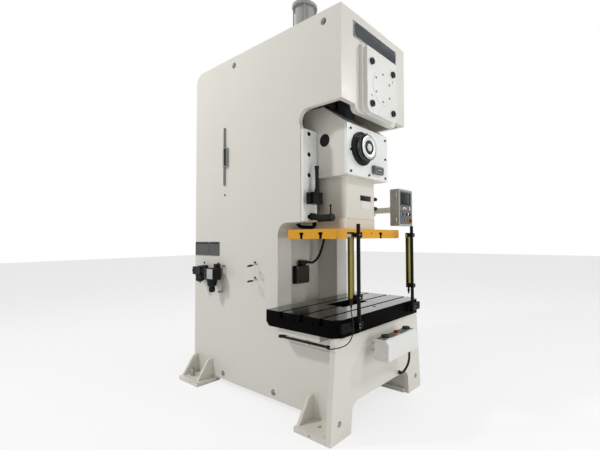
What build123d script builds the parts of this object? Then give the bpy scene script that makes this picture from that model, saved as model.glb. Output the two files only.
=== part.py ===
from build123d import *
from math import acos, cos, pi, radians, sin, tan
import os

# A C-frame mechanical stamping press with one crank, in millimetres.
# X runs to the right, Y to the back and Z up from the floor. Places along Y are
# measured from the front face of the crown, and save() moves each piece so that
# the origin is the middle of the foundation holes, on the floor.

# Welded frame
frame_width = 968
crown_bottom = 2547
crown_height = 753
side_thick = 40
frame_clear = 56
crown_thick = 50
top_skin = 12
relief_radius = 89
relief_y = 378
rear_round = 125
throat_y = 737
throat_top = 1600
throat_round = 107
bed_top = 738
bed_back_y = 12
wall_thick = 30
liner_inner = 323
back_web_y = 1004
seat_thick = 40
lift_hole_radius = 30
lift_hole_drop = 88
lift_hole_ys = [184, 1400]
weight_holes = [(795, 112), (1565, 110)]
flush = 0.3

# Feet and foundation holes
foot_outer = 675
foot_thick = 40
front_foot_back = 333
rear_foot_length = 348
rear_foot_inset = 45
rear_gusset_inset = 38
gusset_thick = 30
gusset_height = 183
gusset_head = 45
gusset_toe = 30
anchor_x = 560
front_anchor_inset = 164
rear_anchor_inset = 119
anchor_radius = 18
jack_hole_radius = 8
jack_hole_depth = 30
level_screw_x = 590
level_screw_inset = 155
level_screw_radius = 15
level_head_radius = 25
level_screw_rise = 58

# Bed front plate
bed_plate_front = -38
bed_foot_half = 675
bed_head_half = 612
leg_inner_foot = 440
leg_inner_head = 422
arch_top = 225
arch_round = 80
leg_hole_radius = 23
leg_hole_x = 576
leg_hole_z = 125

# Bolster and the ledges outside the frame that help to carry it
bolster_half = 625
bolster_front = -65
bolster_back = 716
bolster_thick = 132
bolster_chamfer = 58
bolster_rear_chamfer = 36
drop_half_x = 180
drop_front = 237
drop_back = 447
drop_clear = 20
slot_neck = 28
slot_neck_depth = 34
slot_head = 46
slot_head_height = 20
bolster_slots = [93, 529]
locating_hole_radius = 18
locating_holes = [46, 627]
side_tap_radius = 7
side_tap_depth = 30
side_taps = [(478, 48), (486, 84), (372, 57), (176, 49)]
ledge_outer = 600
ledge_front = 131
ledge_back = 596
ledge_thick = 54
ledge_rib_height = 100
ledge_rib_y = 350
ledge_rib_thick = 20

# Guides
gib_front = 424
gib_thick = 28
gib_inner = 312
gib_outer = 478
gib_bottom = 1606
gib_top = 2390
gib_round = 6
gib_bolt_x = 408
gib_bolt_top_drop = 35
gib_bolt_pitch = 177.5
gib_bolt_count = 5
gib_bolt_radius = 12
gib_head_radius = 18
gib_head_clear = 2
gib_sink = 14
wing_half = 380
guide_clear = 0.5
wing_thick = 140
wing_top_drop = 20
rear_guide_room = 26

# Slide
slide_half = 306
slide_front = 118
slide_back = 592
slide_bottom = 1988
slide_shoulder = 2438
slide_top = 2600
slide_slope_y = 350
slide_slope_round = 30
neck_half = 233
neck_front = 174
neck_back = 510
neck_bottom = 1632
neck_round = 50
neck_foot_half = 252
neck_foot_grow = 8
neck_foot_bottom = 1538
slide_plate_half = 476
slide_plate_front = 73
slide_plate_back = 612
slide_plate_thick = 80
slide_plate_slots = [233, 450]
cross_slot_x = 155
plate_tap_x = 10
plate_tap_z = 44
slide_hole_radius = 56
slide_hole_y = 338
slide_hole_z = 2306
cover_thick = 30
cover_top = 2420
cover_bottom = 1990
cover_round = 5
cover_screw_x = 262
cover_screw_zs = [2378, 2199, 2020]
cover_screw_low = (0, 2016)
cover_head_radius = 10
cover_head_height = 8
ear_half = 400
ear_y = 530
ear_width = 70
ear_thick = 40

# Height drive and height counter on the slide
drum_x = -110
drum_z = 2230
drum_radius = 110
drum_face = 0
drum_ring_radius = 58
drum_hub_radius = 32
drum_sink = 6
drum_base_radius = 145
drum_base_thick = 28
drum_lug_radius = 13
drum_lug_shift = 20
drum_lug_stand = 45
drum_lug_root = 5
drum_lug_height = 37
counter_left = 40
counter_right = 195
counter_bottom = 2032
counter_top = 2114
counter_depth = 38
counter_round = 8
counter_side = 45
counter_low = 26
counter_sink = 4

# Crank, rod and adjusting screw
crank_rise = 210
throw = 100
slide_y = 342
journal_radius = 80
bush_wall = 15
boss_wall = 30
boss_step = 20
crankpin_radius = 95
web_radius = 130
web_foot_radius = 105
web_thick = 60
web_gap = 140
shaft_gap = 0.2
rod_eye_radius = 145
rod_side_gap = 3
rod_length = 497
rod_half = 55
rod_thick = 90
rod_flare = 25
rod_taper = 15
ball_radius = 75
dish_clear = 1
dish_rise = 60
pivot_drop = 27
screw_radius = 90
screw_length = 250
screw_travel = 100
screw_end_gap = 2
rod_room_left = 90
rod_room_right = 190
rod_room_y = 90

# Crank cover on the crown, with the lobe of the front plate behind it
lobe_half = 313
lobe_drop = 269
lobe_round = 50
lobe_corner = 8
cover_flange_half = 250
cover_flange_thick = 30
cover_flange_drop = 269
cover_flange_rise = 307
cover_flange_round = 60
cover_flange_corner = 18
cover_block_half = 228
cover_block_thick = 35
cover_block_drop = 258
cover_block_rise = 289
cover_block_round = 50
cover_block_corner = 14
cover_disc_radius = 152
cover_disc_step = 3
cover_ring_radius = 120
cover_ring_count = 6
cover_ring_hole = 11
cover_ring_depth = 20
cover_ring_sink = 2
cover_bolt_radius = 15
cover_bolt_dx = 165
cover_bolt_rises = [-181, 175]
cover_bolt_head_radius = 27
cover_bolt_head_height = 16
extractor_holes = [(165, 108), (-165, -108)]
extractor_radius = 9
extractor_depth = 25

# Gear train and drive
gear_module = 10
gear_teeth = 70
pinion_teeth = 14
pressure_angle = 25
backlash = 1.2
gear_front = 1000
gear_width = 150
gear_room = 30
gear_rim = 60
gear_web_sink = 50
gear_hub_radius = 140
gear_hole_count = 5
gear_hole_ring = 220
gear_hole_radius = 45
pinion_overhang = 5
bearing_wall_y = 640
drive_wall_thick = 50
pinion_shaft_radius = 50
clutch_room = 170
clutch_gap = 40
clutch_radius = 190
clutch_nose_radius = 150
clutch_nose_gap = 4
flywheel_radius = 390
flywheel_width = 180
flywheel_rim = 70
flywheel_sink = 50
flywheel_hub_radius = 110
flywheel_hub_out = 10
shaft_end_out = 40
motor_z = 1650
motor_radius = 135
motor_gap = 10
motor_length = 340
motor_room = 175
motor_shaft_radius = 24
motor_shaft_seat = 60
motor_foot_half = 120
motor_foot_drop = 90
fin_count = 12
fin_thick = 12
fin_rise = 18
fin_front = 40
fin_back = 60
pulley_radius = 85
pulley_width = 110
belt_count = 3
belt_pitch = 26
belt_width = 16
belt_depth = 12
belt_clear = 1
shelf_drop = 170
shelf_thick = 40

# Counterbalance cylinders
balance_x = 350
balance_radius = 85
balance_bore = 70
balance_rise = 210
balance_length = 610
balance_floor = 20
balance_cap_radius = 112
balance_cap_thick = 25
balance_ring_thick = 18
balance_ring_inner = 75
balance_tie_ring = 98
balance_tie_radius = 7
balance_rod_radius = 22
piston_drop = 260
piston_thick = 60

# Oil level gauge on the left side
gauge_y = 1547
gauge_half = 10
gauge_depth = 14
gauge_bottom = 2005
gauge_top = 2603
gauge_block_front = 1493
gauge_block_bottom = 2196
gauge_block_top = 2392
gauge_block_depth = 22
gauge_block_round = 8
gauge_slot_half = 8
gauge_slot_height = 60
gauge_slot_zs = [2252, 2336]

# Vent at the back of the left side
vent_bottom = 1290
vent_top = 1434
vent_depth = 5
vent_inset = 7
vent_widths = [254, 200]
vent_joint = 6
louvre_count = 7
louvre_pitch = 17
louvre_height = 8
louvre_depth = 3
louvre_border = 12

# Air filter and regulator on the left side
air_x = 560
air_body_half = 40
filter_y = 1875
filter_half = 115
filter_bottom = 1095
filter_height = 80
filter_bowl_radius = 46
filter_bowl_height = 75
filter_drain_radius = 16
filter_drain_height = 18
regulator_y = 1648
regulator_half = 107
regulator_bottom = 1075
regulator_height = 90
bonnet_radius = 40
bonnet_height = 90
dial_y = 1600
dial_radius = 27
dial_depth = 16
bracket_half = 25
bracket_rise = 30
knob_radius = 30
knob_height = 59.4
nipple_radius = 18

# Small bore pipe beside the regulator
pipe_radius = 5
pipe_bend = 16
pipe_stand = 26
pipe_y = 1543
pipe_top = 1192
pipe_bottom = 927
pipe_run = 61
pipe_fitting_radius = 9
pipe_fitting_out = 34

# Ring holders for a spanner
ring_x = 560
ring_y = 1027
ring_zs = [1215, 1075]
ring_outer = 22
ring_inner = 15
ring_thick = 6
ring_arm_half = 6
ring_tab_half = 17
ring_tab_below = 20
ring_tab_above = 30

# Lubrication distributor and height switch on the left gib
lube_x = 385
lube_half = 55
lube_depth = 84
lube_bottom = 1752
lube_height = 98
lube_port_radius = 11
lube_port_out = 22
lube_port_in = 8
lube_port_zs = [1770, 1801, 1832]
lube_stem_x = 380
lube_stem_radius = 15
lube_stem_collar = 22
lube_collar_height = 30
lube_stem_cap = 19
lube_stem_height = 215
switch_x = 372
switch_z = 1632
switch_radius = 30
switch_front = 190
switch_back = 350
switch_rod_y = 215
switch_rod_radius = 7
switch_rod_top = 1740
switch_bracket_half = 28

# Conduit under the left ledge
conduit_x = 580
conduit_z = 656
conduit_radius = 10
conduit_cap = 14
conduit_front = 50
conduit_back = 600
conduit_cap_length = 24

# Light curtains and two-hand control
post_x = 416.5
post_y = -101
post_radius = 15
post_bottom = 770
post_top = 1567
post_foot_thick = 22
post_foot_round = 8
post_foot_left = 370
post_foot_right = 590
post_clamp_half = 26
post_clamp_z = 785
post_clamp_height = 50
grip_half = 22
grip_height = 34
grip_zs = [1000, 1470]
curtain_x = 443
curtain_y = -48
curtain_bottom = 995
curtain_top = 1509
curtain_half = 22.5
curtain_depth = 32
lens_half = 9
lens_sink = 3
lens_border = 30
curtain_collar_radius = 11
curtain_collar = 40
curtain_plug_radius = 8
desk_half = 235
desk_front = -245
desk_back = -117
desk_bottom = 505
desk_top = 672
desk_arm_x = 130
desk_arm_half = 22
desk_arm_bottom = 560
desk_arm_height = 44
desk_pad_half = 40
desk_pad_thick = 10
palm_x = 165
palm_y = -172
palm_stem = 13
palm_clear = 1
palm_travel = 6
palm_radius = 34
palm_ring = 40
stop_radius = 22
stop_ring = 30
palm_step = 5
palm_head = 12

# Junction box in the throat
junction_left = -60
junction_right = 125
junction_depth = 49
junction_bottom = 1004
junction_top = 1182
junction_post_x = 35
junction_post_radius = 26
junction_post_height = 58
junction_gland_radius = 18

# Pendant
arm_x = 560
arm_bottom = 1718
arm_size = 54
arm_wall = 5
arm_boss_radius = 40
arm_pin_radius = 15
arm_fork_gap = 2
arm_fork_thick = 20
arm_fork_front = 40
arm_fork_back = 60
pendant_left = 530
pendant_right = 807
pendant_front = 100
pendant_back = 202
pendant_bottom = 1584
pendant_top = 1957
pendant_border = 18
pendant_sink = 4
pendant_stop_x = 750
pendant_stop_z = 1640
pendant_stop_radius = 22
pendant_stem = 11.5
stem_clear = 0.5
pivot_y = 470

# Rear door and service panel
door_bottom = 180
door_top = 1380
door_half = 430
door_thick = 12
door_gap = 1
hinge_inset = 150
hinge_out = 14
hinge_half = 30
hinge_radius = 11
hinge_pin_radius = 6
hinge_pin_half = 52
handle_x = 380
handle_z = 780
handle_half = 14
handle_length = 110
handle_post_radius = 11.5
panel_thick = 20
panel_drop = 325
panel_gap = 20
panel_slot_count = 8
panel_slot_half = 150
panel_slot_height = 14
panel_slot_pitch = 40
panel_slot_first = 160

# Cords: the points are chosen along each route
curtain_cable_radius = 4
curtain_cable = [(-443, -48, 932), (-443, -48, 905), (-460, -70, 872), (-492, -106, 835),
                 (-508, -118, 785), (-526, -116, 738), (-560, -104, 700), (-604, -78, 684),
                 (-636, -34, 674), (-637, 6, 665), (-614, 26, 659), (-590, 30, 656),
                 (-580, 47, 656)]
desk_cable_radius = 10
desk_cable = [(213, -175, 505), (213, -175, 450), (209, -173, 395), (210, -155, 345),
              (217, -128, 303), (228, -100, 272), (240, -76, 258), (240, -52, 258)]
hose_radius = 13
hose_gland_radius = 20
hose = [(78, 962, 1216), (118, 962, 1216), (160, 950, 1206), (196, 930, 1224), (214, 905, 1264),
        (222, 880, 1314), (222, 856, 1370), (216, 832, 1430), (208, 808, 1490),
        (200, 785, 1545), (200, 785, 1600)]
roof_hose_radius = 17
roof_hose_gland = 22
roof_hose = [(-290, 694, 1622), (-290, 694, 1572), (-172, 670, 1564), (-57, 694, 1572),
             (-57, 694, 1622)]

half_frame = frame_width / 2
inner_half = half_frame - side_thick
frame_height = crown_bottom + crown_height
throat_edge = gib_front + gib_thick
bolster_top = bed_top + bolster_thick
crank_z = crown_bottom + crank_rise
pinion_z = crank_z - gear_module * (gear_teeth + pinion_teeth) / 2
ball_z = crank_z + throw - rod_length
screw_top = ball_z - ball_radius - pivot_drop
drive_wall_y = gear_front + gear_width + gear_room
flywheel_front = drive_wall_y + drive_wall_thick + clutch_room
motor_front = flywheel_front + flywheel_width + motor_gap
frame_depth = motor_front + motor_length + motor_room
shelf_z = motor_z - shelf_drop - shelf_thick
panel_top = frame_height - panel_drop
panel_bottom = door_top + panel_gap
rear_foot_back = frame_depth - rear_foot_inset
rear_foot_front = rear_foot_back - rear_foot_length
front_anchor_y = front_foot_back - front_anchor_inset
rear_anchor_y = rear_foot_front + rear_anchor_inset
origin_y = (front_anchor_y + rear_anchor_y) / 2
balance_top = frame_height + balance_rise
balance_bottom = balance_top - balance_length
slide_seat = slide_front - cover_thick
cover_face = -cover_flange_thick - cover_block_thick
curtain_back = curtain_y - curtain_depth / 2
CENTRE_MIN = (Align.CENTER, Align.CENTER, Align.MIN)


def save(name, part):
    """Write one piece, moved to the origin of the finished machine."""
    moved = [Pos(0, -origin_y, 0) * solid for solid in part.solids()]
    export_step(moved[0] if len(moved) == 1 else Compound(moved), f"parts/{name}.step")


def block(x0, x1, y0, y1, z0, z1):
    """A box between two corners."""
    centre = Pos((x0 + x1) / 2, (y0 + y1) / 2, (z0 + z1) / 2)
    return centre * Box(x1 - x0, y1 - y0, z1 - z0)


def outline(points, radii):
    """A closed face with a radius, or 0, at each of its corners."""
    return make_face(FilletPolyline(*points, radius=radii, close=True))


def across(face, y0, y1):
    """Extrude an outline in X and Z from one depth to another."""
    plane = Plane(origin=(0, y1, 0), x_dir=(1, 0, 0), z_dir=(0, -1, 0))
    return extrude(plane * face, amount=y1 - y0)


def along(face, x0, x1):
    """Extrude an outline in Y and Z from one side to the other."""
    return extrude(Plane.YZ.offset(x0) * face, amount=x1 - x0)


def flat(face, z0, z1):
    """Extrude an outline in X and Y from one height to another."""
    return extrude(Plane.XY.offset(z0) * face, amount=z1 - z0)


def bar_x(y, z, x0, x1, radius):
    """A round bar along X."""
    return Pos((x0 + x1) / 2, y, z) * Rot(0, 90, 0) * Cylinder(radius, x1 - x0)


def bar_y(x, z, y0, y1, radius):
    """A round bar along Y."""
    return Pos(x, (y0 + y1) / 2, z) * Rot(90, 0, 0) * Cylinder(radius, y1 - y0)


def bar_z(x, y, z0, z1, radius):
    """A round bar along Z."""
    return Pos(x, y, (z0 + z1) / 2) * Cylinder(radius, z1 - z0)


def rectangle_points(x0, x1, z0, z1):
    """The four corners of an upright rectangle."""
    return [(x0, z0), (x1, z0), (x1, z1), (x0, z1)]


def both_sides(part):
    """A piece and its mirror image on the other side of the press."""
    return Compound(children=[part, mirror(part, about=Plane.YZ)])


def cap_screw(radius, length, head_radius, head_height):
    """A socket-head screw with its seat at Z = 0 and its shank below."""
    head = bar_z(0, 0, 0, head_height, head_radius)
    socket = extrude(Plane.XY.offset(head_height / 2) * RegularPolygon(head_radius * 0.55, 6),
                     amount=head_height)
    return head + bar_z(0, 0, -length, 0, radius) - socket


def facing_front(x, y, z, part):
    """Place a piece drawn on Z = 0 on a face that looks to the front."""
    return Pos(x, y, z) * Rot(90, 0, 0) * part


def side_plate(x0):
    """The C-shaped side of the frame, from the crown down to the feet."""
    points = [(crown_thick, frame_height), (crown_thick, crown_bottom),
              (throat_edge, crown_bottom), (throat_edge, throat_top),
              (throat_y, throat_top), (throat_y, bed_top), (bed_back_y, bed_top),
              (bed_back_y, foot_thick), (front_foot_back, foot_thick),
              (front_foot_back, frame_clear), (rear_foot_front, frame_clear),
              (rear_foot_front, foot_thick), (frame_depth, foot_thick),
              (frame_depth, frame_height)]
    radii = [0, 0, 0, 0, throat_round, 0, 0, 0, 0, 0, 0, 0, 0, rear_round]
    face = outline(points, radii)
    relief_z = crown_bottom - relief_radius
    relief = Pos(relief_y, relief_z) * Circle(relief_radius)
    corner = Pos((relief_y + throat_edge) / 2, crown_bottom - relief_radius / 2)
    face = face + corner * Rectangle(throat_edge - relief_y, relief_radius) - relief
    for y in lift_hole_ys:
        face = face - Pos(y, frame_height - lift_hole_drop) * Circle(lift_hole_radius)
    for y, z in weight_holes:
        face = face - Pos(y, z) * Circle(lift_hole_radius)
    return along(face, x0, x0 + side_thick)


def throat_liners():
    """The flanges round the throat, with the walls behind them."""
    strip = outline([(throat_edge, throat_top), (throat_y, throat_top), (throat_y, bed_top),
                     (throat_y + wall_thick, bed_top),
                     (throat_y + wall_thick, throat_top + wall_thick),
                     (throat_edge, throat_top + wall_thick)],
                    [0, throat_round, 0, 0, throat_round + wall_thick, 0])
    part = along(strip, liner_inner, inner_half)
    part += block(liner_inner, liner_inner + wall_thick, throat_y + wall_thick, back_web_y,
                  bed_top, throat_top)
    return both_sides(part)


def back_web():
    """The wall at the back of the throat and the roof over it, with the hose glands."""
    wall = block(-inner_half, inner_half, back_web_y, back_web_y + wall_thick,
                 frame_clear, throat_top)
    roof_z = throat_top + wall_thick
    roof = block(-inner_half, inner_half, bearing_wall_y, back_web_y + wall_thick,
                 roof_z, roof_z + wall_thick)
    lip = block(-liner_inner, liner_inner, back_web_y, back_web_y + wall_thick,
                throat_top, roof_z)
    x, y, z = hose[-1]
    part = wall + lip + roof + bar_z(x, y, z, roof_z, hose_gland_radius)
    for x, y, z in (roof_hose[0], roof_hose[-1]):
        part += bar_z(x, y, z, roof_z, roof_hose_gland)
    return part


def crown_front_plate():
    """The front of the crown, with the lobe that carries the crank bearing."""
    lobe_bottom = crank_z - lobe_drop
    points = [(-half_frame, frame_height), (-half_frame, crown_bottom),
              (-lobe_half, crown_bottom), (-lobe_half, lobe_bottom),
              (lobe_half, lobe_bottom), (lobe_half, crown_bottom),
              (half_frame, crown_bottom), (half_frame, frame_height)]
    face = outline(points, [0, 0, lobe_corner, lobe_round, lobe_round, lobe_corner, 0, 0])
    face = face - Pos(0, crank_z) * Circle(journal_radius + bush_wall)
    plate = across(face, 0, crown_thick)
    for x, z in cover_bolt_spots():
        plate -= bar_y(x, z, 0, crown_thick, cover_bolt_radius)
    return plate


def cover_bolt_spots():
    """The places of the four large bolts that hold the crank cover to the crown."""
    return [(x, crank_z + rise) for x in (-cover_bolt_dx, cover_bolt_dx)
            for rise in cover_bolt_rises]


def cover_ring_spots():
    """The places of the screws round the disc of the crank cover."""
    turns = [2 * pi * i / cover_ring_count for i in range(cover_ring_count)]
    return [(cover_ring_radius * sin(turn), crank_z + cover_ring_radius * cos(turn))
            for turn in turns]


def crown_top_plate():
    """The bent plate over the top and down the back of the crown."""
    face = outline([(crown_thick, frame_height), (crown_thick, frame_height - top_skin),
                    (frame_depth - top_skin, frame_height - top_skin),
                    (frame_depth - top_skin, panel_top), (frame_depth, panel_top),
                    (frame_depth, frame_height)],
                   [0, 0, rear_round - top_skin, 0, 0, rear_round])
    part = along(face, -inner_half, inner_half)
    for x in (-balance_x, balance_x):
        part -= bar_z(x, ear_y, frame_height - 2 * top_skin, frame_height + top_skin,
                      balance_radius + flush)
    return part


def bearing_wall():
    """The cross wall behind the slide that carries the rear crank bearing."""
    back = bearing_wall_y + wall_thick
    wall = block(-inner_half, inner_half, bearing_wall_y, back,
                 throat_top + 2 * wall_thick, frame_height - top_skin)
    wall += bar_y(0, crank_z, bearing_wall_y - boss_step, back + boss_step,
                  journal_radius + bush_wall + boss_wall)
    wall += bar_y(0, pinion_z, bearing_wall_y, back + boss_step,
                  pinion_shaft_radius + bush_wall + boss_wall)
    for z, radius in ((crank_z, journal_radius), (pinion_z, pinion_shaft_radius)):
        wall -= bar_y(0, z, bearing_wall_y - 2 * boss_step, back + 2 * boss_step,
                      radius + bush_wall)
    return wall


def drive_wall():
    """The second cross wall, behind the gears."""
    back = drive_wall_y + drive_wall_thick
    wall = block(-inner_half, inner_half, drive_wall_y, back,
                 shelf_z + shelf_thick, frame_height - top_skin)
    for z, radius in ((crank_z, journal_radius), (pinion_z, pinion_shaft_radius)):
        wall -= bar_y(0, z, drive_wall_y - 1, back + 1, radius + bush_wall)
    return wall


def motor_shelf():
    """The shelf between the side plates that carries the motor."""
    return block(-inner_half, inner_half, back_web_y + wall_thick, frame_depth - panel_thick,
                 shelf_z, shelf_z + shelf_thick)


def shaft_bushes():
    """Bronze bushes of the crankshaft and of the pinion shaft."""
    back = bearing_wall_y + wall_thick + boss_step
    drive_seat = (drive_wall_y, drive_wall_y + drive_wall_thick)
    crank_seats = [(0, crown_thick), (bearing_wall_y - boss_step, back), drive_seat]
    pinion_seats = [(bearing_wall_y, back), drive_seat]
    bushes = []
    for z, radius, seats in ((crank_z, journal_radius, crank_seats),
                             (pinion_z, pinion_shaft_radius, pinion_seats)):
        for y0, y1 in seats:
            ring = bar_y(0, z, y0, y1, radius + bush_wall)
            bushes.append(ring - bar_y(0, z, y0 - 1, y1 + 1, radius + shaft_gap))
    return Compound(children=bushes)


def guide_blocks():
    """Side and rear guides of the slide, on the side plates and the bearing wall."""
    wing_back = throat_edge + guide_clear + wing_thick
    bottom = throat_top + wall_thick + flush
    bracket = block(wing_half + guide_clear, inner_half, throat_edge, bearing_wall_y,
                    bottom, gib_top)
    rear = block(slide_half + rear_guide_room, wing_half + guide_clear,
                 wing_back + guide_clear, bearing_wall_y, bottom, gib_top)
    return both_sides(bracket + rear)


def gib_bolt_spots():
    """The places of the screws in the right gib strip."""
    top = gib_top - gib_bolt_top_drop
    return [(gib_bolt_x, top - i * gib_bolt_pitch) for i in range(gib_bolt_count)]


def front_gibs():
    """The two strips bolted over the front of the guides."""
    points = rectangle_points(gib_inner, gib_outer, gib_bottom, gib_top)
    strip = across(outline(points, [gib_round] * 4), gib_front, throat_edge)
    for x, z in gib_bolt_spots():
        strip -= bar_y(x, z, gib_front - 1, throat_edge + 1, gib_bolt_radius + flush)
        strip -= bar_y(x, z, gib_front - 1, gib_front + gib_sink,
                       gib_head_radius + gib_head_clear)
    return both_sides(strip)


def gib_bolts():
    """The screws that hold the gib strips, with their heads sunk in."""
    screw = cap_screw(gib_bolt_radius, gib_thick - gib_sink, gib_head_radius,
                      gib_sink - gib_head_clear)
    return [facing_front(side * x, gib_front + gib_sink, z, screw)
            for side in (-1, 1) for x, z in gib_bolt_spots()]


def bed_front_plate():
    """The flared plate at the front of the bed, with its leg arch and cable gland."""
    points = [(-bed_foot_half, 0), (-leg_inner_foot, 0), (-leg_inner_head, arch_top),
              (leg_inner_head, arch_top), (leg_inner_foot, 0), (bed_foot_half, 0),
              (bed_head_half, bed_top), (-bed_head_half, bed_top)]
    face = outline(points, [0, 0, arch_round, arch_round, 0, 0, 0, 0])
    for x in (-leg_hole_x, leg_hole_x):
        face = face - Pos(x, leg_hole_z) * Circle(leg_hole_radius)
    x, y, z = desk_cable[-1]
    gland = bar_y(x, z, y, bed_plate_front, desk_cable_radius + 6)
    return across(face, bed_plate_front, bed_back_y) + gland


def bolster_seats():
    """The seats of the bolster: one inside the frame and two welded outside."""
    plate = block(-inner_half, inner_half, bed_back_y, back_web_y, bed_top - seat_thick, bed_top)
    drop_x = drop_half_x + drop_clear
    plate -= block(-drop_x, drop_x, drop_front - drop_clear, drop_back + drop_clear,
                   bed_top - seat_thick - 1, bed_top + 1)
    ledge_bottom = bed_top - ledge_thick
    ledge = block(half_frame, ledge_outer, ledge_front, ledge_back, ledge_bottom, bed_top)
    rib = outline([(half_frame, ledge_bottom), (half_frame, ledge_bottom - ledge_rib_height),
                   (conduit_x - conduit_radius - ledge_rib_thick / 2, ledge_bottom)], [0, 0, 0])
    ledge += across(rib, ledge_rib_y, ledge_rib_y + ledge_rib_thick)
    return Compound(children=[plate, ledge, mirror(ledge, about=Plane.YZ)])


def foot(y0, y1, gussets, anchor_y):
    """One floor plate with its gussets, beside and under the side plate."""
    part = block(inner_half - 20, foot_outer, y0, y1, 0, foot_thick)
    part -= bar_z(anchor_x, anchor_y, -1, foot_thick + 1, anchor_radius)
    part -= bar_x(anchor_y, foot_thick / 2, foot_outer - jack_hole_depth, foot_outer + 1,
                  jack_hole_radius)
    head = foot_thick + gusset_height
    rib = outline([(half_frame, foot_thick), (foot_outer - gusset_toe, foot_thick),
                   (half_frame + gusset_head, head), (half_frame, head)], [0, 0, 25, 0])
    for y in gussets:
        part += across(rib, y, y + gusset_thick)
    return part


def feet():
    """The four feet: the front ones have one gusset and the rear ones two."""
    front = foot(bed_back_y, front_foot_back, [front_foot_back - gusset_thick],
                 front_anchor_y)
    rear = foot(rear_foot_front, rear_foot_back,
                [rear_foot_front + rear_gusset_inset, rear_foot_back - gusset_thick],
                rear_anchor_y)
    rear -= bar_z(level_screw_x, frame_depth - level_screw_inset, -1, foot_thick + 1,
                  level_screw_radius + flush)
    return both_sides(front) + both_sides(rear)


def level_screws():
    """The levelling screws in the rear feet, with their lock nuts and heads."""
    y = frame_depth - level_screw_inset
    top = foot_thick + level_screw_rise
    screw = bar_z(level_screw_x, y, 2, top, level_screw_radius)
    nut = extrude(Plane.XY.offset(foot_thick) * RegularPolygon(level_head_radius, 6), amount=20)
    head = extrude(Plane.XY.offset(top) * RegularPolygon(level_head_radius, 6), amount=18)
    screw += Pos(level_screw_x, y, 0) * (nut + head)
    return [screw, mirror(screw, about=Plane.YZ)]


def frame_bolts():
    """All screws of the frame, each a solid of its own."""
    return Compound(children=gib_bolts() + cover_bolts() + level_screws())


def bolster():
    """The thick work table, with T-slots, a drop opening and locating holes."""
    points = [(-bolster_half + bolster_chamfer, bolster_front),
              (bolster_half - bolster_chamfer, bolster_front),
              (bolster_half, bolster_front + bolster_chamfer),
              (bolster_half, bolster_back), (-bolster_half, bolster_back),
              (-bolster_half, bolster_front + bolster_chamfer)]
    plate = flat(make_face(Polyline(*points, close=True)), bed_top, bolster_top)
    rear = outline([(bolster_back - bolster_rear_chamfer, bed_top),
                    (bolster_back + 1, bed_top - 1),
                    (bolster_back + 1, bed_top + bolster_rear_chamfer)], [0, 0, 0])
    plate -= along(rear, -bolster_half - 1, bolster_half + 1)
    for y in bolster_slots:
        plate -= tee_slot_x(y, bolster_half + 1, bolster_top)
    plate -= block(-drop_half_x, drop_half_x, drop_front, drop_back,
                   bed_top - 1, bolster_top + 1)
    middle = (drop_front + drop_back) / 2
    for side in (-1, 1):
        slot = tee_slot_x(middle - slot_neck * 1.5, (bolster_half + 1 - drop_half_x) / 2 + 1,
                          bolster_top)
        plate -= Pos(side * (bolster_half + 1 + drop_half_x) / 2, 0, 0) * slot
    for y in locating_holes:
        plate -= bar_z(0, y, bed_top - 1, bolster_top + 1, locating_hole_radius)
    for side in (-1, 1):
        ends = sorted((side * (bolster_half - side_tap_depth), side * (bolster_half + 1)))
        for y, drop in side_taps:
            plate -= bar_x(y, bolster_top - drop, *ends, side_tap_radius)
    return plate


def tee_slot_x(y, half, top):
    """The room of a T-slot along X, open at the given upper face."""
    neck = block(-half, half, y - slot_neck / 2, y + slot_neck / 2, top - slot_neck_depth, top + 1)
    head = block(-half, half, y - slot_head / 2, y + slot_head / 2,
                 top - slot_neck_depth - slot_head_height, top - slot_neck_depth)
    return neck + head


def crank_cover():
    """The stepped cover over the front crank bearing."""
    flange = rectangle_points(-cover_flange_half, cover_flange_half,
                              crank_z - cover_flange_drop, crank_z + cover_flange_rise)
    front = rectangle_points(-cover_block_half, cover_block_half,
                             crank_z - cover_block_drop, crank_z + cover_block_rise)
    low, high = cover_flange_round, cover_flange_corner
    part = across(outline(flange, [low, low, high, high]), -cover_flange_thick, 0)
    low, high = cover_block_round, cover_block_corner
    part += across(outline(front, [low, low, high, high]), cover_face, -cover_flange_thick)
    disc_face = cover_face - cover_disc_step
    part += bar_y(0, crank_z, disc_face, cover_face, cover_disc_radius)
    for x, z in cover_bolt_spots():
        part -= bar_y(x, z, cover_face - 1, 1, cover_bolt_radius + flush)
    for x, rise in extractor_holes:
        part -= bar_y(x, crank_z + rise, disc_face - 1, cover_face + extractor_depth,
                      extractor_radius)
    for x, z in cover_ring_spots():
        part -= bar_y(x, z, disc_face - 1, cover_face + cover_ring_depth, cover_ring_hole)
    return part


def cover_bolts():
    """The four large bolts of the crank cover and the screws of its disc."""
    screw = cap_screw(cover_bolt_radius, crown_thick - cover_face - 10,
                      cover_bolt_head_radius, cover_bolt_head_height)
    bolts = [facing_front(x, cover_face, z, screw) for x, z in cover_bolt_spots()]
    for x, z in cover_ring_spots():
        bolts.append(bar_y(x, z, cover_face + cover_ring_sink, cover_face + cover_ring_depth,
                           cover_ring_hole))
    return bolts


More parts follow.
